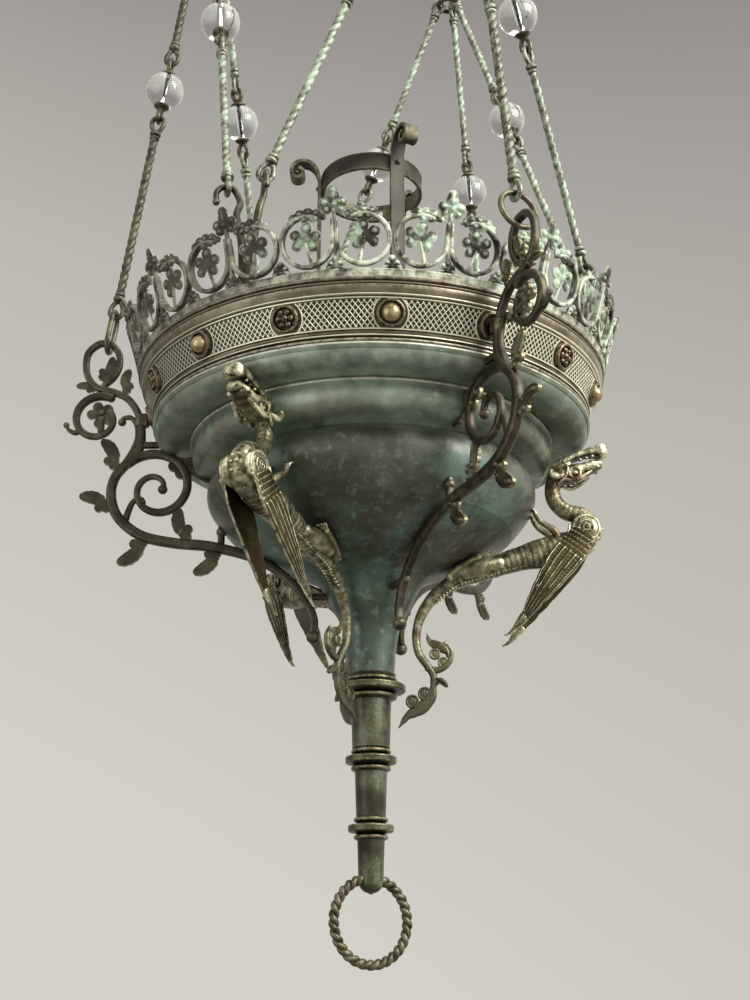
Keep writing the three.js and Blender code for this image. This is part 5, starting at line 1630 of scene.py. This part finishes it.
@dataclass
class Strand:
    """One strand: a lower rod, a glass ball on its pin and an upper rod.

    Args:
        name: the strand's name in the frame.
        start: where it hangs from below.
        end: the seat on its hub ring.
        seat_gap: play between its lowest eye and what that hangs on.
        skin: finish of the twisted bars.
        ends: finish of their knobs and eyes.
        dark: finish of the pin.
        glass: finish of the ball.
    """

    name: str
    start: np.ndarray
    end: np.ndarray
    seat_gap: float
    skin: bpy.types.Material
    ends: bpy.types.Material
    dark: bpy.types.Material
    glass: bpy.types.Material
    lower_length: float = 204.0
    pin_length: float = 67.0
    wire: float = 2.1
    pin_wire: float = 2.0
    hook_wire: float = 2.2
    gap: float = 0.35
    hub_reach: float = 2.4 + 2.1 + 1.5
    eye_size: tuple = (8.0, 6.0)
    pin_eye_size: tuple = (6.6, 5.0)
    bar_radius: float = 3.4
    stout_radius: float = 3.9
    lay: float = 17.0
    ball_radius: float = 17.0
    ball_flat: float = 16.0
    bore: float = 2.2

    def eye(self, middle: float, size: tuple, wire: float, crosswise: bool, way: int) -> Surface:
        """A pear-shaped eye of round wire on the strand's axis.

        Args:
            middle: height of its middle.
            size: half its length and half its width.
            wire: radius of the wire.
            crosswise: True for the plane across the rod's own eyes.
            way: 1 for one that narrows upwards, -1 downwards.

        Returns:
            The surface.
        """
        half_length, half_width = size
        a = np.linspace(0, 2 * math.pi, 40, endpoint=False)
        narrow = 1 - 0.22 * (1 + way * np.sin(a))
        side, rise = half_width * np.cos(a) * narrow * 1.12, middle + half_length * np.sin(a)
        zero = np.zeros_like(a)
        path = np.stack([zero, side, rise] if crosswise else [side, zero, rise], -1)
        normal = (1, 0, 0) if crosswise else (0, 1, 0)
        return sweep(path, wire, wire, ROUND, normal, closed=True)

    def rod(self, low: float, high: float) -> tuple[Surface, Surface]:
        """A twisted rod, and its turned knobs and eyes.

        Args:
            low: lower end of its lower eye.
            high: upper end of its upper eye.

        Returns:
            The bar and the ends.
        """
        foot, head = low + 15.0, high - 15.0
        radius = self.stout_radius if self.name in ("left", "front") else self.bar_radius
        twist = twisted_bar(foot + 8.5, head - 8.5, radius, self.lay)
        ends = []
        for base, way in ((foot, 1), (head, -1)):
            line = [(0, -1), (2.3, -0.6), *arc(2.7, 2.9, 2.5, -70, 70, 7), (2.9, 5.6),
                    *arc(2.6, 7.2, 1.9, -60, 60, 6), (2.4, 9.4), (0, 9.6)]
            profile = [(r, base + way * z) for r, z in line]
            ends.append(lathe(profile, 24, False))
        reach = self.eye_size[0]
        ends.append(self.eye(low + reach, self.eye_size, self.wire, False, 1))
        ends.append(self.eye(high - reach, self.eye_size, self.wire, False, -1))
        return twist, joined(ends)

    def pin(self, low: float, high: float) -> Surface:
        """The pin through the glass ball, with a tapering cap and an eye at both ends.

        Args:
            low: lower end of its lower eye.
            high: upper end of its upper eye.

        Returns:
            The surface.
        """
        middle, reach = (low + high) / 2, self.pin_eye_size[0]
        seat, end = 16.3, 21.0
        half = [(1.7, 0), (1.7, seat), (6.4, seat), *arc(6.4, seat + 0.8, 0.8, -80, 30, 5),
                (5.4, seat + 2.6), (3.6, seat + 4.4), (2.3, end + 1.2), (0, end + 1.2)]
        profile = [(r, middle - z) for r, z in half[::-1]] + [(r, middle + z) for r, z in half[1:]]
        return joined([
            lathe(profile, 28, False),
            self.eye(low + reach, self.pin_eye_size, self.pin_wire, True, 1),
            self.eye(high - reach, self.pin_eye_size, self.pin_wire, True, -1),
        ])

    def build(self) -> None:
        """Makes the strand's four pieces."""
        stand = along(self.start, self.end)
        length = float(np.linalg.norm(self.end - self.start))
        low = -(self.hook_wire + self.wire + self.seat_gap)
        high = low + self.lower_length
        step = self.wire + self.pin_wire + self.gap
        pin_low = high - step
        pin_high = pin_low + self.pin_length
        middle = (pin_low + pin_high) / 2
        spans = {"lower_rod": (low, high), "upper_rod": (pin_high - step, length + self.hub_reach)}
        for kind, span in spans.items():
            twist, ends = self.rod(*span)
            for label, surface, skin in (("bar", twist, self.skin), ("ends", ends, self.ends)):
                piece = make_object(f"{kind}_{label}_{self.name}", surface.moved(stand), skin,
                                    Body.LAMP)
                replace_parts(piece, f"{kind}_{self.name}")
        pin = make_object(f"capped_pin_{self.name}", self.pin(pin_low, pin_high).moved(stand),
                          self.dark, Body.LAMP)
        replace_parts(pin, f"ball_pin_{self.name}")
        flat = math.degrees(math.asin(self.ball_flat / self.ball_radius))
        outline = [(self.bore, -self.ball_flat), *arc(0, 0, self.ball_radius, -flat, flat, 33),
                   (self.bore, self.ball_flat)]
        glass = lathe([(r, middle + z) for r, z in outline], 64)
        node = f"glass_ball_{self.name}"
        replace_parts(make_object(f"clear_{node}", glass.moved(stand), self.glass, node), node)


@dataclass
class Rigging:
    """Everything above the crown: links, strands, hub rings, top rods and bail."""

    hook_radius: float = 224.0
    hook_height: float = 52.0
    seat: float = 3.0 + 2.2 + 2.3
    fitting_radius: float = 180.5
    fitting_height: float = 110.0
    fitting_spread: float = 17.7
    hub_radius: float = 152.0
    hub_height: float = 506.0
    hub_ring: float = 10.0
    hub_wire: float = 2.4
    link_wire: float = 2.2
    bar_height: float = 806.0
    bail_wire: float = 3.5
    top_radius: float = 3.0

    def hub_seat(self, azimuth: float, start: np.ndarray) -> np.ndarray:
        """The hub ring's point on the side that a strand comes from."""
        hub = at(self.hub_radius, azimuth, self.hub_height)
        heading = (start - hub) * (1, 1, 0)
        return hub + heading / np.linalg.norm(heading) * self.hub_ring

    def link(self, name: str, stand: np.ndarray, height: float, half_width: float,
             skin: bpy.types.Material) -> None:
        """A link of round wire between a bracket's hook and its strand.

        Args:
            name: the bracket's name.
            stand: matrix of the strand's line, at the link's lower end.
            height: length between the middles of its two turns' wire.
            half_width: half its width, and the radius of its turns.
            skin: its finish.
        """
        a = np.linspace(0, 2 * math.pi, 64, endpoint=False)
        straight = height / 2 - half_width
        rise = height / 2 + half_width * np.sin(a) + np.sign(np.sin(a)) * straight
        path = np.stack([np.zeros_like(a), half_width * np.cos(a), rise], -1)
        ring = sweep(path, self.link_wire, self.link_wire, ROUND, (1, 0, 0), closed=True)
        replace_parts(make_object(f"wire_link_{name}", ring.moved(stand), skin, Body.LAMP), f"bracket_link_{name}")

    def build(self) -> None:
        """Makes the links, strands, top rods and bail."""
        dark, pale, glass = DARK_SKIN.material(), ROD_SKIN.material(), glass_material()
        ends, left, front = (skin.material() for skin in (ROD_END_SKIN, LEFT_SKIN, FRONT_SKIN))
        sizes = {"left": (37.0, 9.0), "front": (30.0, 15.0), "rear": (30.0, 15.0)}
        for name, azimuth in BRACKETS.items():
            hook = at(self.hook_radius, azimuth, self.hook_height - self.seat)
            hub = self.hub_seat(azimuth, hook)
            stand = along(hook, hub)
            self.link(name, stand, *sizes[name], dark)
            start = (stand @ np.array([0, 0, sizes[name][0], 1]))[:3]
            # The left and front strands take darker copies of the rod bronze: painted shade.
            skins = {"left": (left, left), "front": (front, ends)}.get(name, (pale, ends))
            Strand(name, start, hub, 0.35, *skins, dark, glass).build()
        for name, azimuth in FITTINGS.items():
            for side, label in ((-1, "a"), (1, "b")):
                start = at(self.fitting_radius, azimuth, self.fitting_height,
                           side * self.fitting_spread)
                hub = self.hub_seat(azimuth + 60 * side, start)
                Strand(f"{name}_{label}", start, hub, 1.5, pale, ends, dark, glass).build()
        for (name, azimuth), eye_side in zip(BRACKETS.items(), (-10, 10, 0)):
            self.top_rod(name, azimuth, eye_side, dark, pale)
        self.bail(dark)

    def top_rod(self, name: str, azimuth: float, eye_side: float, dark: bpy.types.Material,
                pale: bpy.types.Material) -> None:
        """A twisted rod from a hub ring to the bail, with the ring at its foot.

        Args:
            name: the name of the bracket below it.
            azimuth: its direction from the lamp's axis.
            eye_side: place of its upper eye along the bail's bar.
            dark: finish of its rings and knobs.
            pale: finish of its bar.
        """
        a = np.linspace(0, 2 * math.pi, 48, endpoint=False)
        ring = np.stack([self.hub_radius + self.hub_ring * np.cos(a), self.hub_ring * np.sin(a),
                         np.full(48, self.hub_height)], -1)
        wire = self.hub_wire
        hub = sweep(ring, wire, wire, ROUND, (0, 0, 1), closed=True).moved(turned(azimuth))
        eye_radius = self.bail_wire + wire + 0.7
        loop = np.stack([np.full(48, eye_side), eye_radius * np.cos(a),
                         self.bar_height + eye_radius * np.sin(a)], -1)
        eye = sweep(loop, wire, wire, ROUND, (1, 0, 0), closed=True)
        low = at(self.hub_radius - self.hub_ring, azimuth, self.hub_height)
        high = np.array([eye_side, 0, self.bar_height - eye_radius])
        length = float(np.linalg.norm(high - low))
        stand = along(low, high)
        ends = []
        for base, way in ((0.4, 1), (length - 0.4, -1)):
            line = [(0, 0), (1.8, 0.4), (2.3, 5), *arc(2.5, 8.4, 2.2, -70, 70, 7), (2.6, 11),
                    (2.4, 14), (0, 14.2)]
            ends.append(lathe([(r, base + way * z) for r, z in line], 24, False).moved(stand))
        twist = twisted_bar(13, length - 13, self.top_radius, Strand.lay).moved(stand)
        for label, surface, skin in (("bar", twist, pale),
                                     ("ends", joined([hub, eye, *ends]), dark)):
            piece = make_object(f"hanging_rod_{label}_{name}", surface, skin, Body.LAMP)
            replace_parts(piece, f"top_rod_{name}")

    def bail(self, dark: bpy.types.Material) -> None:
        """The closed loop at the top, with a straight lower bar."""
        low, half, leg, corner = self.bar_height, 22.0, 6.0, 4.0
        line = [*arc(0, low + leg, half, 0, 180, 40),
                *arc(corner - half, low + corner, corner, 190, 270, 8),
                *arc(half - corner, low + corner, corner, 270, 350, 8)]
        bail = sweep(in_profile(np.array(line)), self.bail_wire, self.bail_wire, FINE, (0, 1, 0),
                     closed=True)
        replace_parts(make_object("bail_loop", bail, dark, Body.HANGING), "hanging_bail")


@dataclass
class CupHolder:
    """The strap ring for the glass cup on three scrolled legs, and the rod that holds it."""

    ring_radius: float = 43.0
    half_strap: float = 1.5
    low: float = 193.25
    high: float = 209.75
    leg: float = 45.7

    def build(self) -> None:
        """Makes the ring with its legs and plate, and the tie rod with its nut."""
        skin = STRAP_SKIN.material()
        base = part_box("cup_holder")[0][2] * 1000 + HANG_HEIGHT + self.half_strap
        low, high = self.low, self.high
        inner, outer = self.ring_radius - self.half_strap, self.ring_radius + self.half_strap
        ring = lathe([
            (inner, low + 0.6), (inner + 0.6, low), (outer - 0.5, low), (outer + 0.1, low + 0.7),
            (outer - 0.1, low + 1.8), (outer - 0.5, low + 2.4), (outer - 0.5, high - 2.4),
            (outer - 0.1, high - 1.8), (outer + 0.1, high - 0.7), (outer - 0.5, high),
            (inner + 0.6, high), (inner, high - 0.6),
        ], 128)
        points = [(10, base), (28, base), (40, base + 0.4), (44.6, base + 3.4),
                  (self.leg, base + 9), (self.leg, base + 60), (self.leg, 120), (self.leg, 180),
                  (self.leg, 203), (46.6, 213), (50.0, 221.6), (56, 226.8), (63, 227.6),
                  (69.2, 223.8), (71.0, 217.6), (69.2, 212.6), (64.6, 211.2), (61, 214),
                  (61, 218.4), (64.4, 220.8)]
        strap = np.array([(1, 1), (0.86, 1), (0.7, 0.72), (0.7, 0), (0.7, -0.72), (0.86, -1),
                          (1, -1), (1, -1.04), (-1, -1.04), (-1, 0), (-1, 1.04), (1, 1.04)])
        leg = joined([
            bar(points, [1.5, 1.5, 1.5, 1.5, 1.6], 6.4, 220, strap * (1, 0.96)),
            ball(65.6, 0, 216.4, 3.8, 6.0), ball(47.2, 0, 201.5, 2.2),
        ])
        plate = lathe([(3.5, base - 1.5), (14, base - 1.5), (14, base + 1.5), (3.5, base + 1.5)], 48)
        legs = [leg.moved(turned(azimuth)) for azimuth in BRACKETS.values()]
        holder = make_object("strap_cup_holder", joined([ring, plate, *legs]), skin, Body.LAMP)
        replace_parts(holder, "cup_holder")
        rod_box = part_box("stem_tie_rod")
        foot, top = (rod_box[k][2] * 1000 + HANG_HEIGHT for k in (0, 1))
        rod = make_object("tie_rod", joined([
            lathe([(0, foot), (3, foot), (3, top), (0, top)], 32, False),
            lathe([(3, top - 6), (6.4, top - 6), (7, top - 5.4), (7, top - 0.6), (6.4, top),
                   (3, top)], 6),
        ]), skin, Body.LAMP)
        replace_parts(rod, "stem_tie_rod")


@dataclass
class CrownHooks:
    """Forked straps inside the crown, each with two hooks for the strands."""

    rigging: Rigging = field(default_factory=Rigging)
    inset: float = 4.0

    def limb(self, side: int) -> Surface:
        """One limb with the hook at its top, for one side of the fork.

        The hook's saddle lies along the rim's side of the strand that hangs in it.

        Args:
            side: -1 or 1.

        Returns:
            The surface.
        """
        rig = self.rigging
        stand = rig.fitting_radius - self.inset
        x = rig.fitting_radius - rig.hub_radius * math.cos(math.radians(60))
        y = rig.hub_radius * math.sin(math.radians(60)) - rig.fitting_spread
        wire_along = np.array([y, side * x, 0]) / math.hypot(x, y)
        seat = np.array([rig.fitting_radius, side * rig.fitting_spread, rig.fitting_height])
        points = [
            (stand, side * 2, 22), (stand, side * 3, 34), (stand, side * 5.4, 60),
            (stand + 1, side * 10.5, 84), seat - 10 * wire_along + (0, 0, -12),
            seat - 4.5 * wire_along + (0, 0, -0.8), seat, seat + 4.6 * wire_along + (0, 0, -0.9),
            seat + 8.5 * wire_along + (0, 0, -6), seat + 8.5 * wire_along + (0, 0, -13),
        ]
        tip, sizes = points[-1], [4.2, 3.6, 3.2, 2.8, 2.4, 2.2]
        hook = bar(points, sizes, sizes, 110, FINE, None)
        return joined([hook, ball(tip[0], tip[1], tip[2] - 1.0, 2.9)])

    def build(self) -> None:
        """Makes the three forks."""
        behind = 4 + 0.3 + 1.8 + 2.2
        low, high = -24.0, 3.3
        stand = self.rigging.fitting_radius - self.inset
        points = [(band_face(low) - behind, low), (band_face(-10) - behind, -10),
                  (band_face(high) - behind - 0.6, high), (stand, 14.5), (stand, 26), (stand, 38)]
        foot = bar(points, 2.2, [7, 7, 7, 5.4, 3.4], 60, STRAP)
        fork = joined([foot, self.limb(-1), self.limb(1)])
        dark = DARK_SKIN.material()
        for name, azimuth in FITTINGS.items():
            piece = make_object(f"forked_hook_{name}", fork.moved(turned(azimuth)), dark,
                                Body.LAMP)
            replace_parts(piece, f"crown_hook_{name}")


@dataclass
class PullRing:
    """The rope ring that hangs through the stem's end."""

    radius: float = 30.5
    strands: int = 2
    strand_radius: float = 2.3
    lean: float = 1.7
    lays: int = 15
    top: float = -388.78
    turn: float = 30.0

    def build(self) -> None:
        """Makes the ring: two strands laid round each other 15 times and bent to a circle.

        Strand k runs at the lean L from the rope's middle, at (L cos p, L sin p) with the
        phase p = 15 a + pi k at the angle a round the ring.
        """
        a = np.linspace(0, 2 * math.pi, 720, endpoint=False)
        c, s = math.cos(math.radians(self.turn)), math.sin(math.radians(self.turn))
        middle = self.top - self.radius
        strands = []
        for k in range(self.strands):
            phase = self.lays * a + k * 2 * math.pi / self.strands
            lean, rise = self.lean * np.cos(phase), self.lean * np.sin(phase)
            r = self.radius + lean
            path = np.stack([r * np.sin(a) * c - rise * s, r * np.sin(a) * s + rise * c,
                             middle + r * np.cos(a)], -1)
            strands.append(sweep(path, self.strand_radius, self.strand_radius, ROUND, (-s, c, 0),
                                 closed=True))
        ring = make_object("rope_ring", joined(strands), DARK_SKIN.material(), Body.RING)
        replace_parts(ring, "pull_ring")


@dataclass
class Studio:
    """Camera, light and backdrop."""

    lens: float = 50.4
    tilt: float = 20.0
    turn: float = 1.5
    distance: float = 1068.0
    side: float = 3.0
    rim_above: float = 480.0
    wall_distance: float = 8.0
    floor_height: float = -4.2
    wall_top: float = 20.0
    floor_light: float = 0.3
    sky_light: float = 1.05
    aim_height: float = -0.85
    top_grey: str = "#918b88"
    middle_grey: str = "#bab7b0"
    bottom_grey: str = "#d4d1c8"

    def camera(self) -> None:
        """Places the camera below the lamp, looking up at it."""
        data = bpy.data.cameras.new("camera")
        data.lens, data.sensor_width, data.sensor_fit = self.lens, 36.0, "AUTO"
        data.clip_end = 40
        cam = bpy.data.objects.new("camera", data)
        a = math.radians(self.turn)
        x, y = self.side, -self.distance
        cam.location = ((x * math.cos(a) - y * math.sin(a)) / 1000,
                        (x * math.sin(a) + y * math.cos(a)) / 1000,
                        (-self.rim_above - HANG_HEIGHT) / 1000)
        cam.rotation_euler = (math.radians(90 + self.tilt), 0, a)
        bpy.context.scene.collection.objects.link(cam)
        bpy.context.scene.camera = cam

    def backdrop(self) -> None:
        """A plain floor and a wall all round, seen by the camera and through glass only."""
        n = Nodes(bpy.data.materials.new("wall_paint"))
        x, _, z = n.add("SeparateXYZ", {0: n.add("TexCoord", out="Object")}).node.outputs
        slope = n.add("MapRange", {0: z, 1: 5.86, 2: -1.28, 3: 0.16, 4: 0.66})
        level = n.add("Math", {0: x, 1: slope, 2: z}, operation="MULTIPLY_ADD")
        colour = self.bottom_grey
        for low, high, grey in ((-1.28, 3.14, self.middle_grey), (3.14, 6.54, self.top_grey)):
            share = n.add("MapRange", {0: level, 1: low, 2: high})
            colour = n.add("Mix", {0: share, 6: colour, 7: grey}, 2, data_type="RGBA")
        n.add("OutputMaterial", {"Surface": n.add("Emission", {"Color": colour})})
        a = np.linspace(0, 2 * math.pi, 96, endpoint=False)[:, None]
        r = self.wall_distance * 1000 * np.array([0.0, 1.0, 1.0])[None]
        z = 1000 * np.array([self.floor_height, self.floor_height, self.wall_top])[None]
        points = np.stack(np.broadcast_arrays(r * np.cos(a), r * np.sin(a), z), -1)
        wall = grid(points, True)
        mesh = bpy.data.meshes.new("wall")
        mesh.from_pydata((wall.verts * 0.001).tolist(), [], wall.quads.tolist())
        mesh.materials.append(n.owner)
        obj = bpy.data.objects.new("wall", mesh)
        obj.visible_diffuse = False
        obj.visible_glossy = False
        obj.visible_shadow = False
        bpy.context.scene.collection.objects.link(obj)

    def lights(self) -> None:
        """Soft daylight from the room, with windows to the right and above."""
        n = Nodes(bpy.data.worlds.new("room"))
        direction = n.add("TexCoord", out="Generated")
        across, _, upwards = n.add("SeparateXYZ", {0: direction}).node.outputs
        level = n.add("MapRange", {0: upwards, 1: -0.9, 2: 0.25, 3: self.floor_light,
                                   4: self.sky_light})
        side = n.add("MapRange", {0: across, 1: -0.8, 2: 0.8, 3: 0.62, 4: 1.3})
        strength = n.add("Math", {0: level, 1: side}, operation="MULTIPLY")
        n.add("OutputWorld", {"Surface": n.add("Background", {0: "#dedcd0", 1: strength})})
        bpy.context.scene.world = n.owner
        lamps = (("window_right", (1.3, -0.9, 0.0), 1.2, 40),
                 ("sky_above", (0.2, -0.4, 1.1), 1.4, 14), ("fill_left", (-1.3, -1.0, -0.9), 1.4, 7))
        for name, place, size, power in lamps:
            data = bpy.data.lights.new(name, "AREA")
            data.size, data.energy = size, power
            light = bpy.data.objects.new(name, data)
            light.location = place
            light.visible_camera = False
            target = np.array([0, 0, self.aim_height]) - np.array(place)
            target = target / np.linalg.norm(target)
            pitch = math.acos(-target[2])
            light.rotation_euler = (pitch, 0, math.atan2(target[1], target[0]) - math.pi / 2)
            bpy.context.scene.collection.objects.link(light)

    def build(self) -> None:
        """Makes the camera, backdrop and lights and sets the view's plain transform."""
        self.camera()
        self.backdrop()
        self.lights()
        bpy.context.scene.view_settings.view_transform = "Standard"


def main() -> None:
    """Builds all sub-assemblies in order and reports them."""
    logging.basicConfig(level=logging.INFO)
    parts = (Bowl(), GalleryBand(), Crown(), Brackets(), Beasts(), Rigging(), CupHolder(),
             CrownHooks(), PullRing(), Studio())
    for part in parts:
        part.build()
        log.info("built %s", type(part).__name__)


if __name__ == "__main__":
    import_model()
    main()
